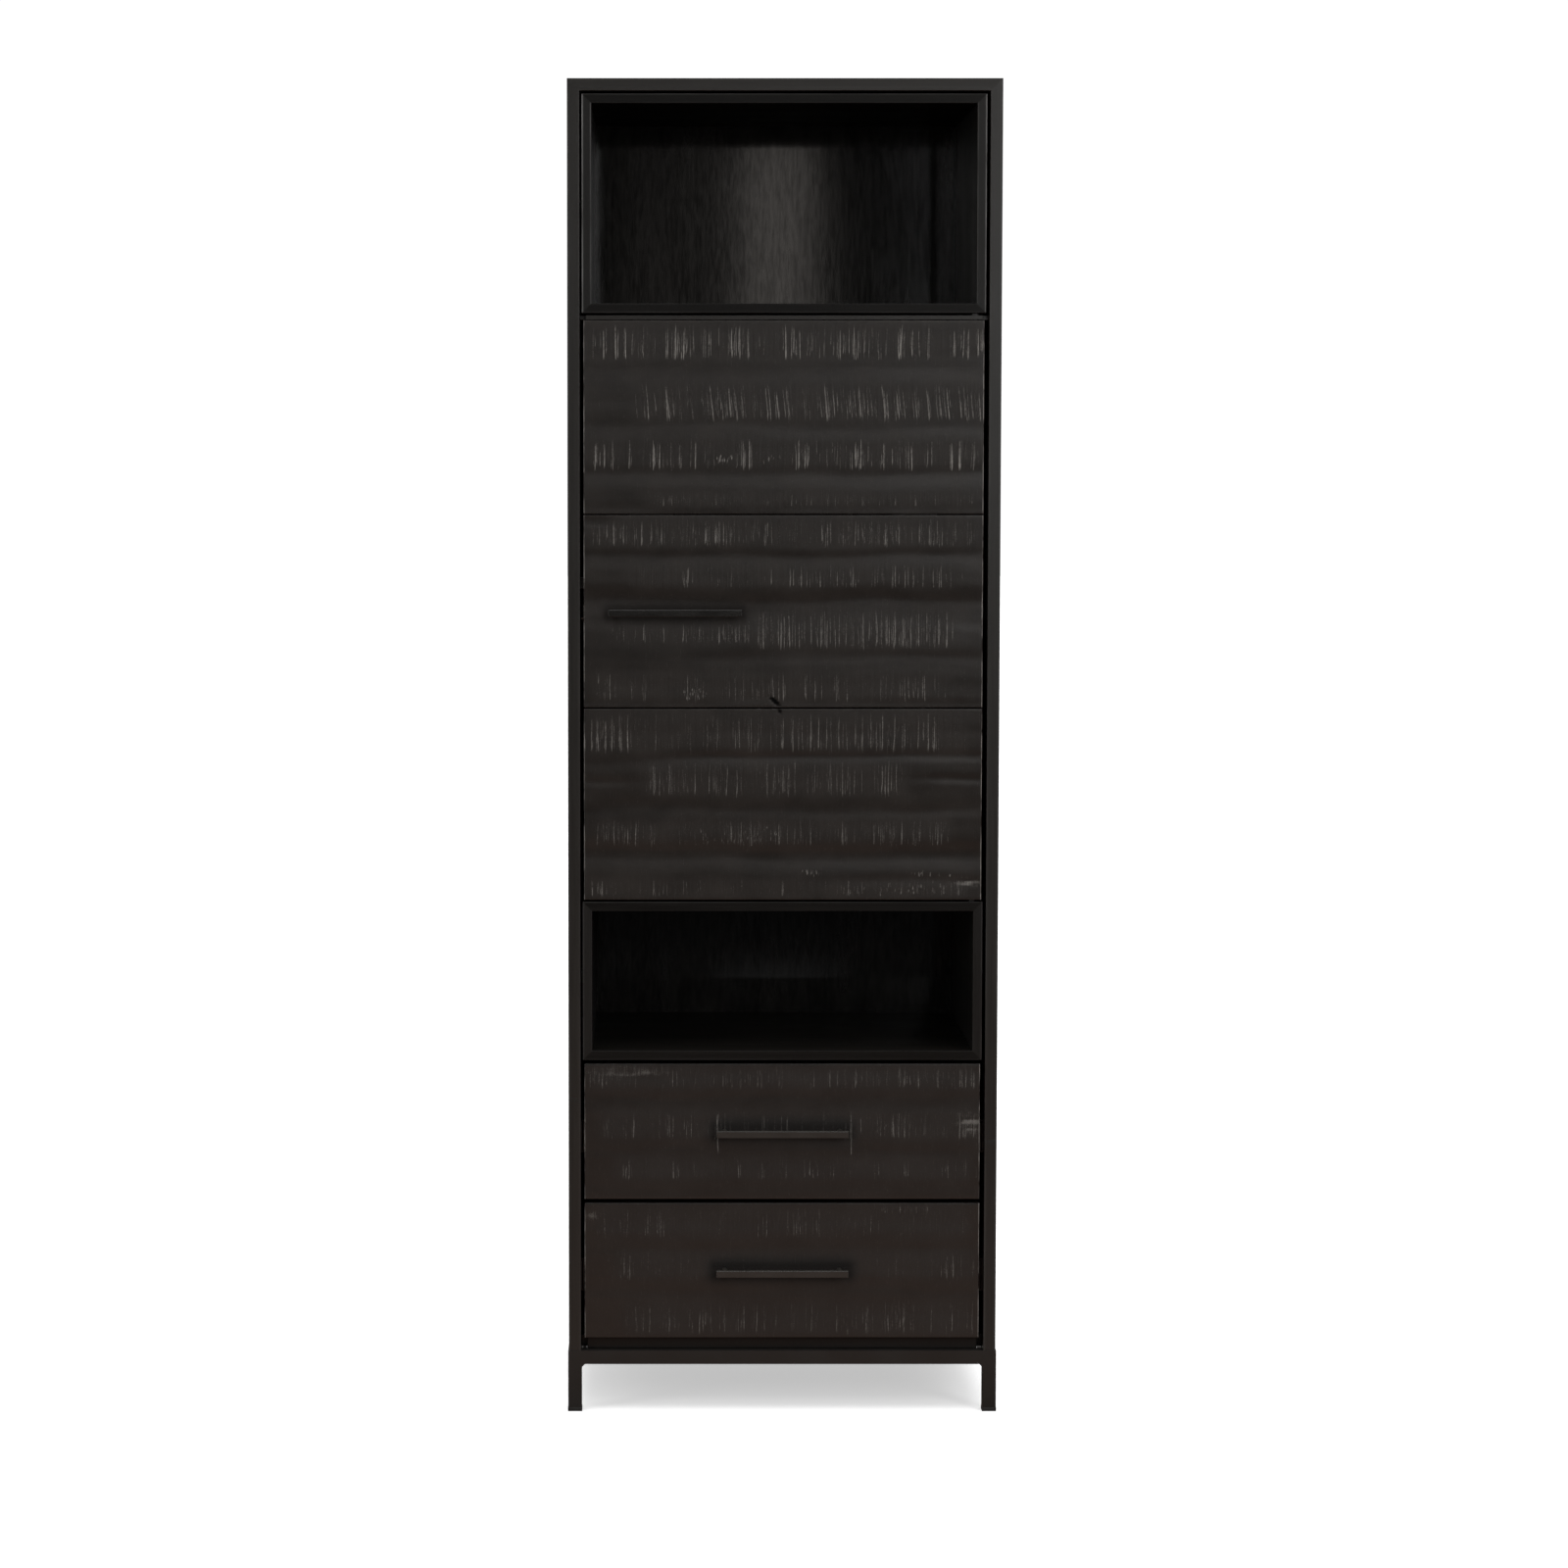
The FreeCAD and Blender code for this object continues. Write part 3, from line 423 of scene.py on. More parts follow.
def build_niche(name, seed, left, right, level):
    """Four lining boards; their front edges meet in a mitre.

    left, right and level: how rubbed their outer and inner front arrises are; on the upper niche the lighter
    rubbed colour is partly wear and partly a painted highlight on the arrises.
    """
    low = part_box(name + "_bottom")[0]
    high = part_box(name + "_top")[1]
    for side, material, along, outer, inward, span, rubbed in (
            ("_left", LINING_UP, 2, low.x, 1, (low.z, high.z), left),
            ("_right", LINING_UP, 2, high.x, -1, (low.z, high.z), right),
            ("_top", LINING_ACROSS, 0, high.z, -1, (low.x, high.x), level),
            ("_bottom", LINING_ACROSS, 0, low.z, 1, (low.x, high.x), level)):
        swept_board(name + side, "niche_lining", material, along, outer, inward, span, (1, 1),
                    NICHE_ARRIS, rubbed, seed=seed)
        seed += 1


# --------------------------------------------------------------- sawn boards

SIDE_RADIUS = 1.1 * MM
LEVEL_RADIUS = 0.3 * MM
COLUMN = 0.6 * MM  # the grid's spacing across a front, fine enough for one saw mark
ROW = 3.0 * MM
EDGE_RINGS = (0.0, 0.13, 0.35, 0.65)  # the grid's extra lines, as shares of a rounded arris
HUNDREDTH = 5.51  # one hundredth of a front's width, in millimetres
SKIN = 0.02 * MM  # the least that a front falls back from its CAD face
FAINT_MARKS = 1.5  # in a hundredth of the width, where a row's density is 1
BUSH_AXIS = sum(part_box("hinge_bushes"), Vector()) / 2
SEAT_RADIUS = 5.1 * MM
SEAT_DEPTH = 16 * MM
SEAT_STEPS = 32


def grid_lines(low, high, step, radius):
    """Places from low to high a step apart, with a few more across each rounded arris."""
    edge = [radius * ring for ring in EDGE_RINGS]
    inner = np.linspace(low + radius, high - radius, int(round((high - low) / step)))
    return np.array([low + e for e in edge] + inner.tolist() + [high - e for e in reversed(edge)])


def rounding(distance, radius):
    """How far a rounded arris falls back, at a distance in from the edge."""
    short = np.clip(radius - distance, 0, radius)
    return radius - np.sqrt(radius ** 2 - short ** 2)


def smooth_step(values, start, end):
    share = np.clip((values - start) / (end - start), 0, 1)
    return share * share * (3 - 2 * share)


def outside(values, low, high):
    """How far each value lies outside low..high."""
    return np.maximum(np.maximum(low - values, values - high), 0)


def bore_seat(vertices, faces, front, back_left, back_right, inwards):
    """Closes a board's end round the blind hole that a hinge bush sits in.

    front: the points of the end's front edge, left to right. inwards: 1 or -1, along z.
    """
    end_z = vertices[back_left][2]
    rims = []
    for depth in (0.0, SEAT_DEPTH):
        rims.append(list(range(len(vertices), len(vertices) + SEAT_STEPS)))
        for step in range(SEAT_STEPS):
            angle = 2 * math.pi * step / SEAT_STEPS
            vertices.append([BUSH_AXIS.x + SEAT_RADIUS * math.cos(angle),
                             BUSH_AXIS.y - SEAT_RADIUS * math.sin(angle),
                             end_z + inwards * depth])
    rim, foot = rims
    half = SEAT_STEPS // 2
    faces.append([*front, *rim[:half + 1], back_left])
    faces.append([front[-1], back_right, back_left, *rim[half:], rim[0]])
    for step in range(SEAT_STEPS):
        after = (step + 1) % SEAT_STEPS
        faces.append([rim[step], rim[after], foot[after], foot[step]])
    faces.append(foot)


class SawnBoard:
    """A front board worked on a fine grid: planed hollows, saw marks, worn edges.

    x runs from 0 to 100 across the width; z is in millimetres down from the top edge. depth is how far
    the face falls back, in metres. Three values are painted on the mesh for sawn_finish: stain rubbed off;
    near-black, dull stain at knots and, with the same values, painted shade round the handles; and the
    roughness of a row of marks.
    boldness scales the strength of every row.
    """

    def __init__(self, node, seed, boldness=1.0):
        self.node = node
        self.boldness = boldness
        self.low, self.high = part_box(node)
        self.across, self.up = np.meshgrid(grid_lines(self.low.x, self.high.x, COLUMN, SIDE_RADIUS),
                                           grid_lines(self.low.z, self.high.z, ROW, LEVEL_RADIUS))
        self.x = (self.across - self.low.x) / (self.high.x - self.low.x) * 100
        self.z = (self.high.z - self.up) / MM
        self.depth = np.zeros_like(self.x)
        self.worn = np.zeros_like(self.x)
        self.knot_and_shade = np.zeros_like(self.x)
        self.rough = np.zeros_like(self.x)
        self.draw = random.Random(seed)
        self.seed = seed
        drift = waves(self.x[0], seed + 1, 130, 24) * 0.25
        self.depth += (0.65 + drift[None, :]) * MM
        self.depth += 0.12 * MM * waves(self.z + 3 * waves(self.x, seed + 2, 90, 30), seed + 3, 60, 16)

    def hollow(self, z, width, depth, wave=4.0, start=0, end=100, soft=18.0, run_out=1.0):
        """A planed hollow across the front, wandering up and down by wave.

        start, end: where across the front it fades out, over about soft. Its lower side is run_out
        times as wide as its upper one.
        """
        path = z + wave * waves(self.x, self.seed + int(z), 85, 22)
        fade = smooth_step(self.x, start - soft, start + soft / 2)
        fade = fade * (1 - smooth_step(self.x, end - soft / 2, end + soft))
        sides = np.where(self.z > path, width * run_out, width)
        self.depth += depth * MM * np.exp(-((self.z - path) / sides) ** 2) * fade

    def stroke(self, x, z, half, width, strength, slant=0.0):
        """One raised saw mark, rubbed through in places; half and width are in millimetres."""
        columns = np.abs(self.x[0] - x) < 1.5 + abs(slant) * half / HUNDREDTH
        xs, zs = self.x[:, columns] * HUNDREDTH, self.z[:, columns]
        lean = slant + self.draw.gauss(0, 0.015)
        sway, period = self.draw.uniform(0.05, 0.35), self.draw.uniform(7, 16)
        phase = self.draw.uniform(0, 6.28)
        along = (zs - z) / half
        bend = self.draw.gauss(0, 0.5) * np.clip(along, -1, 1) ** 2
        wander = sway * np.sin(zs / period + phase) + bend
        off = (xs - x * HUNDREDTH - lean * (zs - z) - wander) / width
        ends = np.clip(1.6 * (1 - np.abs(along) ** 2.5), 0, 1) * (0.7 + 0.3 * np.clip(along, -1, 1))
        fleck = self.draw.uniform(0, 6.28)
        broken = 0.87 + 0.2 * np.sin(zs / self.draw.uniform(0.9, 1.7) + fleck) * np.sin(zs / 2.9 + fleck)
        mark = strength * np.exp(-off ** 2) * ends * broken
        self.worn[:, columns] = np.maximum(self.worn[:, columns], mark)
        self.depth[:, columns] -= 0.1 * MM * np.clip(mark, 0, 1)

    def row(self, top, bottom, start, end, density, strength, bold, slant=0.0):
        """A row of marks: a fine scatter, and bold ones, each with two or more companions.

        top, bottom: the row's reach in z. start, end: its reach in x. density: how thick the scatter is.
        bold holds x places, or (x, share of the strength) pairs.
        """
        strength *= self.boldness
        middle, half = (top + bottom) / 2, (bottom - top) / 2
        rough = np.exp(-((self.z - middle) / half) ** 4) * smooth_step(self.x, start - 3, start + 3)
        rough = rough * (1 - smooth_step(self.x, end - 3, end + 3))
        self.depth += 0.05 * MM * rough * waves(self.x, self.seed + int(top) + 9, 2.3, 0.55, 6)
        self.rough = np.maximum(self.rough, rough)
        for _ in range(int(density * (end - start) * FAINT_MARKS)):
            x = self.draw.uniform(start, end)
            length = half * self.draw.uniform(0.3, 0.95)
            z = middle + self.draw.uniform(-1, 1) * (half - length)
            faint = strength * self.draw.uniform(0.1, 0.7) * (0.65 + 0.35 * math.sin(x / 6.0 + top))
            self.stroke(x, z, length, self.draw.uniform(0.4, 0.6), faint, slant)
        for item in bold:
            x, share = item if isinstance(item, tuple) else (item, 1.0)
            length = half * self.draw.uniform(0.75, 1.0)
            z = middle + self.draw.uniform(-0.3, 1.0) * (half - length)
            self.stroke(x, z, length, self.draw.uniform(0.5, 0.8), strength * share, slant)
            for _ in range(2 + int(share * self.draw.uniform(0.6, 2.6))):
                length = half * self.draw.uniform(0.45, 1.0)
                z = middle + self.draw.uniform(-0.5, 1.0) * (half - length)
                self.stroke(x + self.draw.gauss(0, 1.3), z, length, self.draw.uniform(0.42, 0.65),
                            strength * share * self.draw.uniform(0.3, 0.9), slant)

    def specks(self, x, z, spread_x, spread_z, count, strength):
        """A loose cluster of short marks."""
        for _ in range(count):
            place = self.draw.gauss(x, spread_x), self.draw.gauss(z, spread_z)
            self.stroke(*place, self.draw.uniform(1.5, 3.5), self.draw.uniform(0.6, 1.0),
                        strength * self.draw.uniform(0.4, 1.0))

    def smudge(self, x, z, half_x, half_z, strength):
        """A scuffed patch, its streaks lying level."""
        near = np.exp(-((self.x - x) / half_x) ** 2 - ((self.z - z) / half_z) ** 2)
        streaks = 0.5 + 0.5 * waves(self.z + 2 * waves(self.x, self.seed + 7, 20, 5), self.seed + 8, 14, 3.2)
        self.worn = np.maximum(self.worn, strength * near * np.clip(streaks, 0, 1))

    def bite(self, x, z, half_x, half_z, depth, dark, lean=0.0):
        """A dent or a knothole; depth is in millimetres, and lean is its slope from upright."""
        off = (self.x - x) * HUNDREDTH - lean * (self.z - z)
        near = np.exp(-(off / (half_x * HUNDREDTH)) ** 4 - ((self.z - z) / half_z) ** 4)
        self.depth += depth * MM * near
        self.worn *= 1 - near
        self.knot_and_shade = np.maximum(self.knot_and_shade, dark * near)

    def shade(self, handle, reach, amount):
        """Painted shade round a handle: the stain is darkened and dulled there in place of the handle's
        shadow.
        """
        low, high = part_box(handle)
        beside = outside(self.across, low.x, high.x)
        above = outside(self.up, low.z, high.z)
        self.knot_and_shade = np.maximum(self.knot_and_shade, amount * np.exp(-(beside ** 2 + above ** 2) / reach ** 2))

    def rub_edges(self, strength):
        """Stain rubbed off the arrises, more in some places than others."""
        edges = (
            (self.across - self.low.x, self.z / 100, SIDE_RADIUS, 1.0),
            (self.high.x - self.across, self.z / 100, SIDE_RADIUS, 1.3),
            (self.high.z - self.up, self.x / 50, LEVEL_RADIUS, 0.15),
            (self.up - self.low.z, self.x / 50, LEVEL_RADIUS, 0.1),
        )
        for number, (gap, run, radius, share) in enumerate(edges):
            patchy = np.clip(0.55 + 0.5 * waves(run, self.seed + 20 + number, 1.3, 0.08, 6), 0.05, 1)
            line = np.exp(-((gap - 0.4 * radius) / (0.6 * radius)) ** 2)
            self.worn = np.maximum(self.worn, strength * share * line * patchy)

    def build(self, body, finish, bush_seat=None):
        """Closes the worked front with four edges and a flat back.

        bush_seat is "top" or "bottom": the edge that is bored for a hinge bush.
        """
        low, high = self.low, self.high
        edge = rounding(self.across - low.x, SIDE_RADIUS) + rounding(high.x - self.across, SIDE_RADIUS)
        edge = edge + rounding(self.up - low.z, LEVEL_RADIUS) + rounding(high.z - self.up, LEVEL_RADIUS)
        y = low.y + np.clip(self.depth, SKIN, None) + edge
        rows, columns = self.x.shape
        vertices = np.stack([self.across.ravel(), y.ravel(), self.up.ravel()], 1).tolist()
        index = np.arange(rows * columns).reshape(rows, columns)
        quads = np.stack([index[:-1, :-1], index[:-1, 1:], index[1:, 1:], index[1:, :-1]], -1)
        faces = quads.reshape(-1, 4).tolist()
        first = len(vertices)
        for x, z in ((low.x, low.z), (high.x, low.z), (high.x, high.z), (low.x, high.z)):
            vertices.append([x, high.y, z])
        b0, b1, b2, b3 = range(first, first + 4)
        left, right = index[:, 0], index[:, -1]
        bottom = [index[0].tolist(), b0, b1]
        top = [index[-1].tolist(), b3, b2]
        for name, inwards, (front, back_left, back_right) in (("bottom", 1, bottom), ("top", -1, top)):
            if name == bush_seat:
                bore_seat(vertices, faces, front, back_left, back_right, inwards)
            else:
                faces.append([*front, back_right, back_left])
        faces.append([*right.tolist(), b2, b1])
        faces.append([*left.tolist(), b3, b0])
        faces.append([b3, b2, b1, b0])
        piece = add_piece(self.node + "_sawn", vertices, faces, finish, body, "sawn_front", self.node)
        face_outwards(piece)
        for name, values in (("worn", self.worn), ("knot_and_shade", self.knot_and_shade), ("rough", self.rough)):
            values[[0, -1], :] = 0.0
            values[:, [0, -1]] = 0.0
            paint(piece, name, np.clip(values, 0, 1.2).ravel())


def door_top():
    board = SawnBoard("door_board_top", 101, 0.92)
    board.hollow(70, 13, 0.35)
    board.hollow(146, 9, 0.35, start=0, end=60)
    board.hollow(151, 8, 0.35, start=55)
    board.hollow(212, 10, 1.1, wave=2.0)
    board.hollow(262, 10, 0.5)
    board.row(3, 56, 2, 100, 1.1, 0.95, (
        5, 8, 10.5, (15, 0.5), (21, 0.8), 23, 25, (30, 0.4), 37, (39, 0.9), (41, 0.7), (45, 0.3), 50.5, 54,
        (58, 0.3), (64, 0.8), 67.5, (70, 0.6), 79, (82, 0.9), (86, 0.5), 92.5, 96, 98.5))
    board.row(84, 140, 13, 100, 1.25, 0.8, (
        16, 21, (27, 0.4), 32, 36.5, (38, 0.7), 46.5, 48.5, (51, 0.6), (55, 0.4), 60.5, 62.5, 69, (72, 0.4),
        75, 78.5, (80, 0.8), (83, 0.7), 86, (89, 0.8), 91, (94, 0.8), (97, 0.8), 99), slant=0.09)
    board.row(160, 208, 2, 99, 0.8, 0.9, (
        3, 5.2, (7, 0.5), (11.5, 0.6), 17.5, 19, (24, 0.6), 28, (31, 0.3), 40, 41.5, 53.8, 55.3, 68, 69.3, 75,
        (79, 0.4), 82, (86, 0.8), 92, 94, (97.5, 0.6)))
    board.specks(35, 190, 1.6, 3.0, 16, 0.8)
    board.specks(47, 190, 1.8, 3.0, 10, 0.6)
    board.row(236, 256, 17, 98, 1.3, 0.42, (20, 22, 33, (46, 0.7), 52, 57, (63, 0.8), 70, 78, 83, 88))
    board.rub_edges(0.7)
    board.build("door", SAWN_DOOR, "top")


def door_middle():
    board = SawnBoard("door_board_middle", 202, 0.9)
    board.hollow(56, 9, 0.85, run_out=1.8)
    board.hollow(121, 15, 2.2, wave=3.5, run_out=2.2)
    board.hollow(140, 12, 0.3, start=40)
    board.hollow(194, 9, 0.7, wave=2.5, start=35, run_out=1.8)
    board.hollow(258, 8, 0.5)
    board.row(2, 45, 2, 100, 1.7, 0.62, (
        (4, 0.6), 7.5, (10, 0.7), 14.5, (17, 0.7), 19.5, (26, 0.4), 30.5, 33, 35, 45.5, (47, 0.5), (53, 0.4),
        61, (65, 0.6), 68, (72, 0.6), 75.5, (79, 0.7), 84, 86.5, 88.5, (93, 0.7), (97, 0.6)))
    board.row(66, 102, 12, 95, 0.55, 0.62, (
        (15, 0.4), 26, (37, 0.5), (41, 0.3), 47, 52.5, 54.5, 59.2, (63.5, 0.7), (65, 0.6), 67.5, (73, 0.5),
        78, 80.5, (85, 0.8), 89.5, (92, 0.5)))
    board.row(146, 178, 7, 42, 2.4, 0.6, ((10, 0.5), 15, (20, 0.7), 25, (29, 0.8), 34, (38, 0.9), 40.5))
    board.row(127, 188, 43, 92, 2.2, 0.62, (
        45, (47, 0.6), 49.5, 51.5, (54, 0.7), 57, 59.5, 61, (64, 0.7), (67, 0.5), 70, 73.5, 76, 78, 80, 82,
        84, (86, 0.9), 89, 91))
    board.row(214, 260, 3, 92, 0.5, 0.55, (
        6.5, (15.5, 0.6), (26, 0.7), (28, 0.7), (30, 0.7), (38, 0.7), (40, 0.8), (45, 0.5), 47.5, 50, 55.5,
        (58, 0.7), 63.5, (66, 0.6), (74.5, 0.7), 81.5, 85.5))
    board.specks(28, 246, 1.8, 6.0, 20, 0.6)
    board.bite(2, 8, 5.0, 6.0, 1.0, 0.25)
    board.bite(48.0, 257, 0.7, 6.0, 0.8, 1.2, lean=1.0)
    # Painted shade round the handle: darker, duller stain in place of its shadow.
    board.shade("door_handle", 9 * MM, 0.5)
    board.rub_edges(0.7)
    board.build("door", SAWN_DOOR)


def door_bottom():
    board = SawnBoard("door_board_bottom", 303, 0.95)
    board.hollow(66, 7, 0.95, wave=2.0, start=30)
    board.hollow(72, 9, 0.5, start=0, end=50)
    board.hollow(98, 5, 0.6, wave=1.5, start=88, soft=8)
    board.hollow(101, 5, 0.6, wave=1.5, end=9, soft=8)
    board.hollow(139, 11, 0.9)
    board.hollow(201, 13, 2.4, wave=3.0, run_out=1.6)
    board.hollow(240, 8, 0.6, start=70)
    board.row(2, 64, 1, 96, 1.1, 0.55, (
        2, 3.5, 5.5, 7, 9, 11, (18, 0.6), (31, 0.6), (33.5, 0.5), (39, 0.7), 42, (47, 0.6), 50, 52.5,
        (54, 0.7), 57, 59, (61, 0.7), 64, 70, (72, 0.6), 75, 78, (80, 0.6), 84, 86.5, 88))
    board.row(68, 124, 15, 81, 1.1, 0.5, (
        17.5, (19, 0.7), 21.5, (26, 0.5), (28, 0.8), 31.5, (33, 0.6), 36, 38.5, (46, 0.7), 48, 50, 51.5,
        (53, 0.6), (58, 0.6), (62, 0.7), 65, 68, (73, 0.5), 75, 76.5, 78.5))
    board.row(151, 193, 3, 92, 1.8, 0.5, (
        (5, 0.6), 7.5, (11, 0.8), 13, (17, 0.6), (24, 0.5), (30, 0.6), 37, 39.5, (42, 0.8), 49, (53, 0.6),
        57, 65, (68, 0.6), 73, (77, 0.6), 80, (83, 0.6), 89))
    board.specks(40, 178, 6.0, 7.0, 40, 0.5)
    board.row(235, 262, 1, 96, 0.8, 0.5, (
        2, 4.5, (8, 0.7), 17.5, (20, 0.8), (25, 0.6), (38, 0.3), 50, 66.5, (69, 0.6), (80, 0.5), (84, 0.6),
        (90, 0.6), (94, 0.7)))
    board.specks(57, 227, 1.0, 2.0, 8, 0.7)
    board.specks(85, 229, 3.0, 1.6, 12, 0.7)
    board.specks(83, 250, 7.0, 4.0, 40, 0.55)
    board.smudge(97, 242, 3.5, 7.0, 0.4)
    board.bite(49.2, 3.0, 0.45, 3.0, 0.5, 1.2, lean=0.5)
    board.rub_edges(0.7)
    board.build("door", SAWN_DOOR, "bottom")


def drawer_upper():
    board = SawnBoard("upper_drawer_front", 404, 0.85)
    board.hollow(50, 12, 0.35)
    board.hollow(117, 9, 0.4)
    board.row(1, 37, 1, 100, 1.5, 0.5, (
        (4.5, 0.9), (13, 0.5), 22.3, (28, 0.5), (35, 0.7), (37, 0.6), 43.8, (50, 0.5), (58, 0.6), (62, 0.7),
        (64, 0.8), (66, 0.6), 68.6, (74, 0.5), 81, 84.4, (89.5, 0.8), 95, 96.5, 98.5))
    board.row(64, 108, 4, 100, 0.7, 0.55, (
        (6, 0.6), 12.5, (19, 0.5), (21.5, 0.8), 27, (33.5, 1.2), (35.5, 0.7), (45, 0.7), 51.3, (55, 0.6),
        (60.5, 0.6), (67.4, 1.2), (75, 0.6), 78.2, 79.5, (81, 0.8), (86, 0.7), (91, 0.4), 95, 96.5, 98.5))
    board.stroke(33.7, 96, 32, 0.7, 0.6)
    board.stroke(67.6, 98, 34, 0.7, 0.5)
    board.row(130, 164, 8, 98, 0.35, 0.5, (
        11.4, 22.5, 38.9, (45, 0.8), (51, 0.5), (57, 1.1), (63, 0.6), (74.5, 0.7), (81, 0.8), (92, 0.8),
        (96.5, 0.6)))
    board.smudge(11, 10, 11, 7, 0.3)
    board.smudge(98.0, 84, 3.0, 13, 0.5)
    # Painted shade round the handle: darker, duller stain in place of its shadow.
    board.shade("upper_drawer_handle", 12 * MM, 0.5)
    board.rub_edges(0.6)
    board.build("upper_drawer", SAWN_DRAWER)


def drawer_lower():
    board = SawnBoard("lower_drawer_front", 505, 0.75)
    board.hollow(60, 12, 0.35)
    board.hollow(122, 9, 0.4)
    board.row(2, 52, 3, 97, 0.7, 0.42, (
        (5, 0.7), (9, 0.5), 16, 19, (31.5, 0.5), (44, 0.8), 46.2, 51.5, 53, 54.5, 56, (59.5, 0.7), (66, 0.4),
        (82.5, 0.6), (96, 0.5)))
    board.row(2, 14, 74, 90, 2.0, 0.45, (76, 80, 84, 87))
    board.row(66, 110, 8, 99, 0.3, 0.4, (10, 11.5, (19, 0.5), (79, 0.6), 92, (93.5, 1.0), 95.5, (98.5, 0.6)))
    board.row(134, 189, 10, 99, 0.75, 0.5, (
        (13, 0.6), 16.5, (21.5, 0.7), (23, 0.6), 29.2, 30, (35.5, 0.8), 40.4, 43.7, (45.5, 0.8), (48.5, 0.4),
        (52.5, 0.5), 57.6, (64, 0.9), (69, 0.8), 71.5, 77, (79, 0.8), 81, (83.5, 0.6), (88, 0.6), 93.3, 98.4))
    board.smudge(1.8, 18, 1.6, 9, 0.32)
    # Painted shade round the handle: darker, duller stain in place of its shadow.
    board.shade("lower_drawer_handle", 12 * MM, 0.5)
    board.rub_edges(0.6)
    board.build("lower_drawer", SAWN_DRAWER)


# ------------------------------------------------------- kept CAD nodes' looks

def soften(width, *names):
    """Rounds a kept node's arrises with modifiers; its own mesh stays as it is."""
    for name in names:
        node = NODES[name]
        weld = node.modifiers.new("weld", "WELD")
        weld.merge_threshold = 0.02 * MM
        bevel = node.modifiers.new("arris", "BEVEL")
        bevel.width = width
        bevel.segments = 3
        bevel.limit_method = "ANGLE"
        bevel.angle_limit = math.radians(50)
        bevel.use_clamp_overlap = True
        node.modifiers.new("even_shading", "WEIGHTED_NORMAL").keep_sharp = True


def dress(material, *names):
    for name in names:
        mesh = NODES[name].data
        if not mesh.materials:
            mesh.materials.append(material)
        for number in range(len(mesh.materials)):
            mesh.materials[number] = material


def dress_kept_nodes():
    dress(BACK_FACE, "back_panel")
    # The bottom panel's darker copy of the lacquer is painted shade for its recess.
    dress(BOTTOM_FACE_SHADED, "bottom_panel")
    dress(CASE_ACROSS, "upper_divider", "cupboard_shelf")
    dress(CASE_UP, "door_batten_left", "door_batten_right")
    dress(STEEL, "base_rail_front", "base_rail_back", "base_rail_left", "base_rail_right",
          "leg_front_left", "leg_front_right", "leg_back_left", "leg_back_right")
    dress(PLASTIC, "foot_caps", "niche_spacers", "door_catch")
    # Darker and lighter copies of one handle paint: painted shade on the door, painted light on the drawers.
    dress(BAR_DOOR_SHADED, "door_handle")
    dress(BAR_DRAWERS_LIT, "upper_drawer_handle", "lower_drawer_handle")
    dress(SCREW, "base_screws", "niche_screws", "batten_screws", "door_handle_screws",
          "upper_drawer_handle_screws", "lower_drawer_handle_screws", "hinge_pins")
    dress(BRASS, "hinge_bushes")
    dress(ZINC, "shelf_pins", "door_strike_plate")
    for drawer in ("upper_drawer", "lower_drawer"):
        dress(PLY_X, drawer + "_left", drawer + "_right")
        dress(PLY_Y, drawer + "_back")
        dress(PLY_Z, drawer + "_floor")
        dress(RUNNER, *(drawer + "_runner_" + part for part in ("outers", "middles", "inners")))
        soften(0.8 * MM, drawer + "_left", drawer + "_right", drawer + "_back")
    soften(0.8 * MM, "bottom_panel", "cupboard_shelf", "back_panel", "foot_caps", "door_catch")
    soften(0.5 * MM, "upper_divider")
    soften(1.5 * MM, "door_batten_left", "door_batten_right")


# -------------------------------------------------------------------- studio

CAMERA_X = -0.173
CAMERA_Y = FRONT - 5.5
CAMERA_Z = 1.33
LENS = 91.47
SHIFT_X = 0.08
SHIFT_Y = -0.018
PITCH = 4.254  # degrees below level
FLOOR_SEEN = 0.5  # the floor's own glow: to the camera, in mirrored rays in front, and in those behind
FLOOR_SHEEN = 0.44
FLOOR_BEHIND = 0.5
ROOM_LOW = 0.03
ROOM_HIGH = 0.9
ROOM_BEHIND = 0.55
WHITE_BEHIND = 1.05
SUN = 1.6
STRIP = 1.15
KEY = 5.0
RIGHT = 4.6
LEFT = 3.2
PLAIN = (1.0, 1.0, 1.0)
WARM = (1.0, 0.93, 0.87)


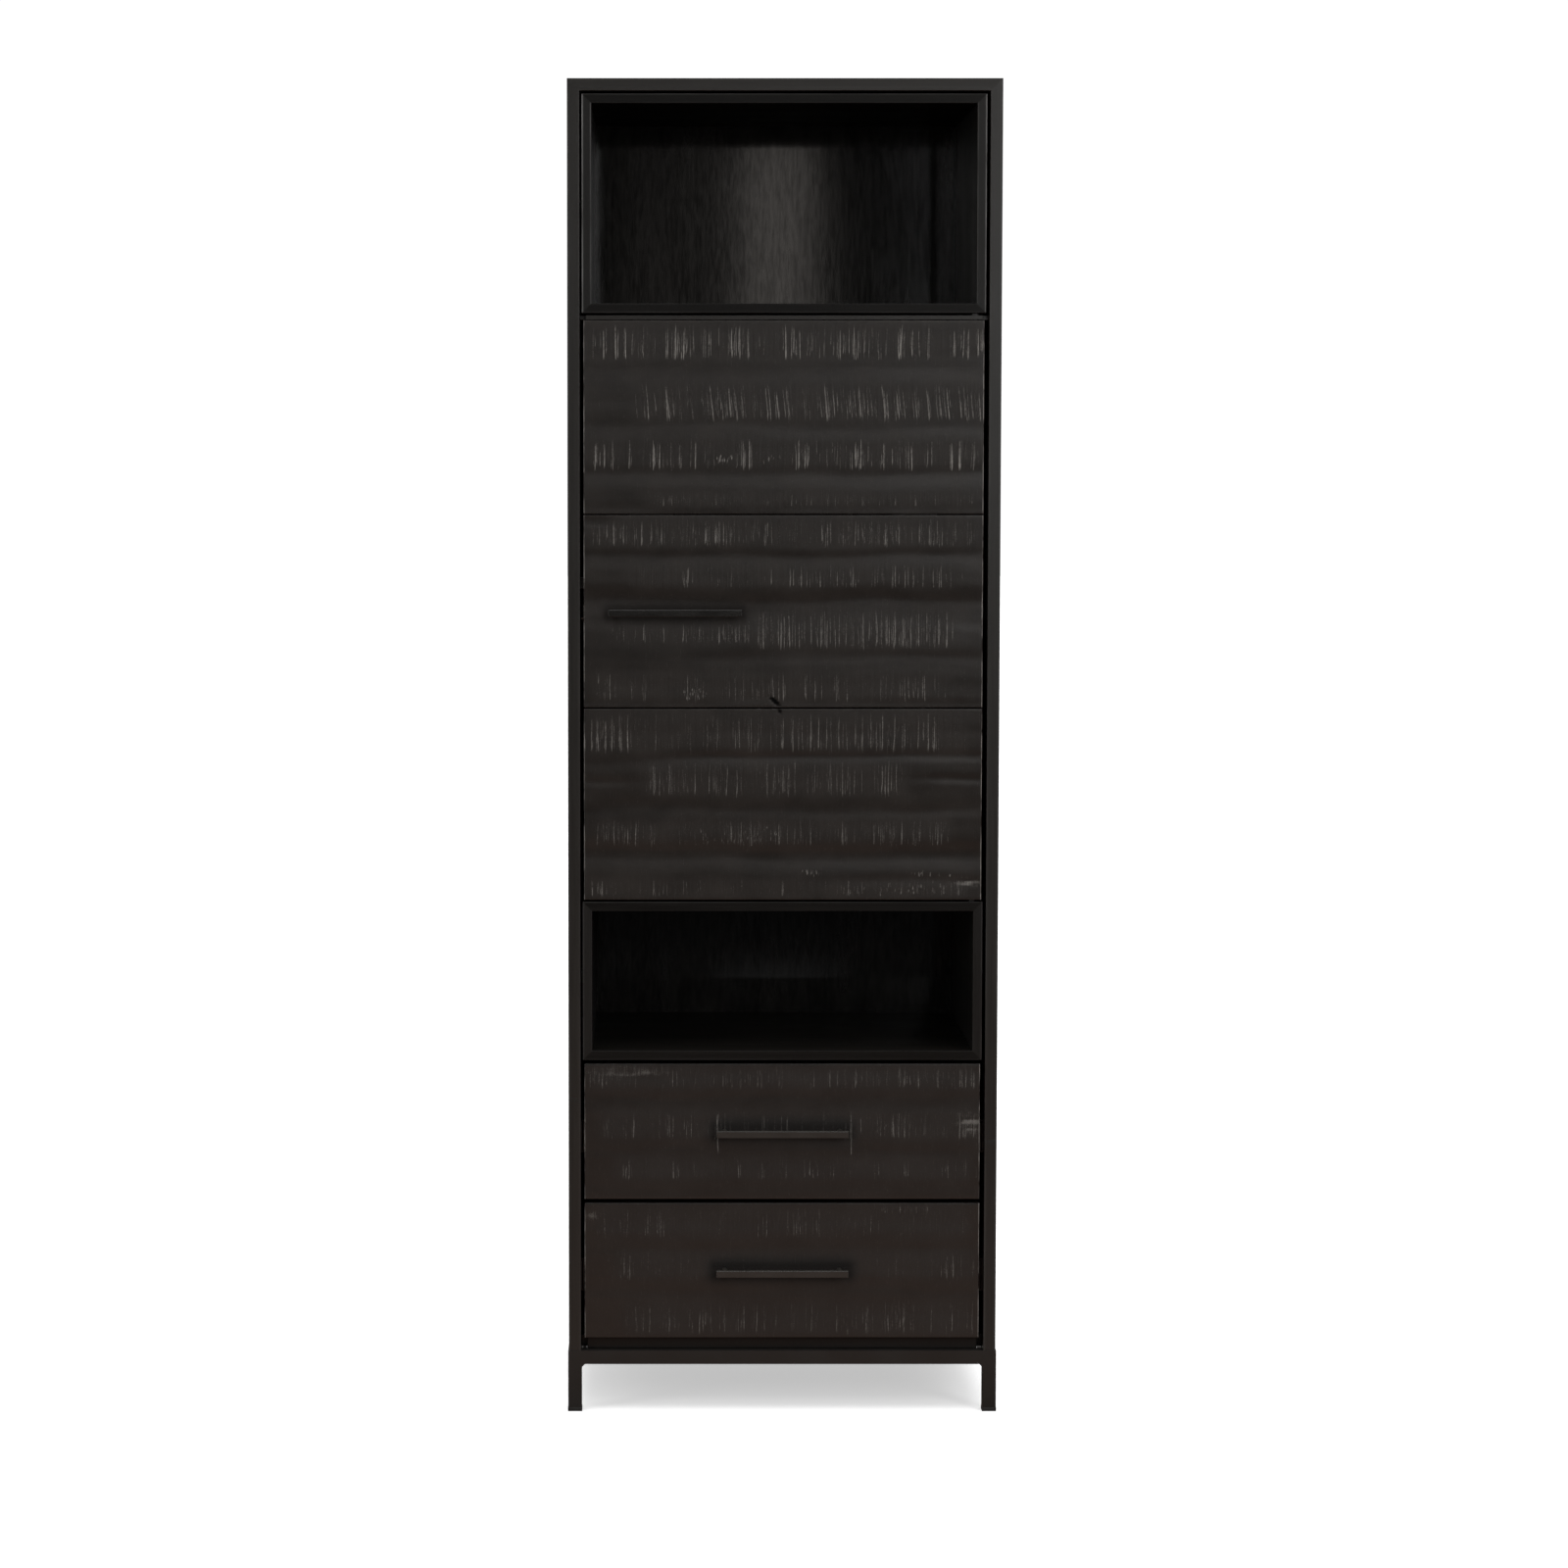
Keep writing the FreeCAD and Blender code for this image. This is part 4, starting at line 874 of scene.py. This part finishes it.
def build_floor():
    """Pale paper to the camera. In the object's gloss it's lit only near the front and behind."""
    bpy.ops.mesh.primitive_plane_add(size=80, location=(0, 0, 0))
    floor = bpy.context.object
    floor.name = "studio_floor"
    made = Finish("studio_floor")
    ray = made.node("LightPath")
    seen = ray.outputs["Is Camera Ray"]
    paper = made.colours(made.noise((0.8, 0.8, 0.8)), (0.3, grey(0.88)), (0.7, grey(0.9)))
    colour = made.blend(seen, (0.03, 0.03, 0.03, 1.0), paper)
    place = made.node("SeparateXYZ", {0: made.place}).outputs
    sideways = made.maths("ABSOLUTE", place["X"], 0.0)
    near = made.spread(place["Y"], 0.0, FLOOR_SHEEN, -3.45, -2.95)
    near = made.maths("MULTIPLY", near, made.spread(place["Y"], 1.0, 0.0, FRONT - 0.2, FRONT + 0.1))
    near = made.maths("MULTIPLY", near, made.spread(sideways, 1.0, 0.0, 0.6, 1.6))
    behind = made.spread(place["Y"], 0.0, FLOOR_BEHIND, 0.0, 0.6)
    mirrored = made.maths("MULTIPLY", ray.outputs["Is Glossy Ray"], made.maths("ADD", near, behind))
    made.vary("Emission Strength", made.maths("ADD", made.maths("MULTIPLY", seen, FLOOR_SEEN), mirrored))
    in_front = made.spread(place["Y"], 1.0, 0.0, FRONT, 0.0)
    sheen = made.blend(in_front, (1.0, 0.96, 0.92, 1.0), (1.0, 0.64, 0.5, 1.0))
    made.vary("Emission Color", made.blend(seen, sheen, (1.0, 1.0, 1.0, 1.0)))
    floor.data.materials.append(made.finish(colour, None, None, Roughness=1.0, Specular_IOR_Level=0.0))


def build_world():
    """White to the camera; for everything else a soft room, lighter above and at the back."""
    world = bpy.data.worlds.new("studio")
    bpy.context.scene.world = world
    world.use_nodes = True
    tree = world.node_tree
    tree.nodes.clear()
    link = tree.links.new

    def add(kind, *links):
        made = tree.nodes.new("ShaderNode" + kind)
        for number, value in enumerate(links):
            link(value, made.inputs[number])
        return made

    def spread(value, start, end, low, high):
        made = add("MapRange", value)
        for key, number in (("From Min", start), ("From Max", end), ("To Min", low), ("To Max", high)):
            made.inputs[key].default_value = number
        return made.outputs["Result"]

    direction = add("TexCoord").outputs["Generated"]
    upward = add("VectorMath", direction)
    upward.operation = "DOT_PRODUCT"
    upward.inputs[1].default_value = Vector((0.15, -0.1, 0.98)).normalized()
    above = spread(upward.outputs["Value"], 0.2, 1.0, ROOM_LOW, ROOM_HIGH)
    rear = spread(add("SeparateXYZ", direction).outputs["Y"], 0.1, 0.6, 0.0, ROOM_BEHIND)
    room = add("Background")
    link(add("Math", above, rear).outputs[0], room.inputs["Strength"])
    white = add("Background")
    white.inputs["Color"].default_value = (1, 1, 1, 1)
    white.inputs["Strength"].default_value = WHITE_BEHIND
    seen = add("LightPath").outputs["Is Camera Ray"]
    add("OutputWorld", add("MixShader", seen, room.outputs[0], white.outputs[0]).outputs[0])


def add_softbox(name, place, target, width, height, radiance, tint=PLAIN):
    """An area light at place, facing target, that the camera doesn't see."""
    light = bpy.data.lights.new(name, "AREA")
    light.shape = "RECTANGLE"
    light.size, light.size_y = width, height
    light.energy = radiance * math.pi * width * height
    light.color = tint
    box = bpy.data.objects.new(name, light)
    box.location = place
    box.rotation_euler = (Vector(target) - Vector(place)).to_track_quat("-Z", "Y").to_euler()
    box.visible_camera = False
    bpy.context.scene.collection.objects.link(box)


def build_lights():
    sun = bpy.data.lights.new("overhead_wash", "SUN")
    sun.energy = SUN
    sun.angle = math.radians(55)
    lamp = bpy.data.objects.new("overhead_wash", sun)
    lamp.rotation_euler = Vector((-0.04, 0.16, -1.0)).to_track_quat("-Z", "Y").to_euler()
    bpy.context.scene.collection.objects.link(lamp)
    strip_z = 1.85
    add_softbox("tall_strip", (0.175, CAMERA_Y, strip_z), (0.175, 0.0, strip_z), 0.21, 0.85, STRIP, WARM)
    add_softbox("soft_strip", (-0.12, CAMERA_Y - 0.1, strip_z), (-0.12, 0.0, strip_z), 0.34, 0.85,
                STRIP * 0.1, WARM)
    add_softbox("key_softbox", (1.12, CAMERA_Y, 2.0), (0.3, 0.0, 1.6), 0.7, 1.4, KEY)
    add_softbox("left_key", (-1.2, CAMERA_Y, 2.2), (0.0, 0.0, 1.6), 0.8, 1.0, KEY * 0.5)
    add_softbox("floor_gleam", (0.13, -3.95, 0.012), (0.13, -3.95, 1.0), 0.3, 0.4, 0.2)
    add_softbox("right_softbox", (2.7, -4.0, 2.5), (0.0, 0.0, 1.3), 1.4, 2.2, RIGHT)
    add_softbox("left_softbox", (-3.4, -2.4, 1.5), (0.0, 0.0, 1.0), 1.2, 2.4, LEFT)


def build_camera():
    data = bpy.data.cameras.new("camera")
    data.sensor_width = 36
    data.lens = LENS
    data.shift_x = SHIFT_X
    data.shift_y = SHIFT_Y
    data.clip_end = 200
    camera = bpy.data.objects.new("camera", data)
    camera.location = (CAMERA_X, CAMERA_Y, CAMERA_Z)
    camera.rotation_euler = (math.radians(90 - PITCH), 0, 0)
    bpy.context.scene.collection.objects.link(camera)
    bpy.context.scene.camera = camera


build_case()
# The upper niche's strong rubbing values are partly painted highlights on its front arrises, on top of wear.
build_niche("upper_niche", 21, (0.9, 0.3), (1.0, 0.2), (0.08, 0.03))
build_niche("lower_niche", 31, (0.1, 0.03), (0.14, 0.03), (0.05, 0.01))
door_top()
door_middle()
door_bottom()
drawer_upper()
drawer_lower()
dress_kept_nodes()
build_floor()
build_world()
build_lights()
build_camera()
bpy.context.scene.view_settings.view_transform = "Standard"
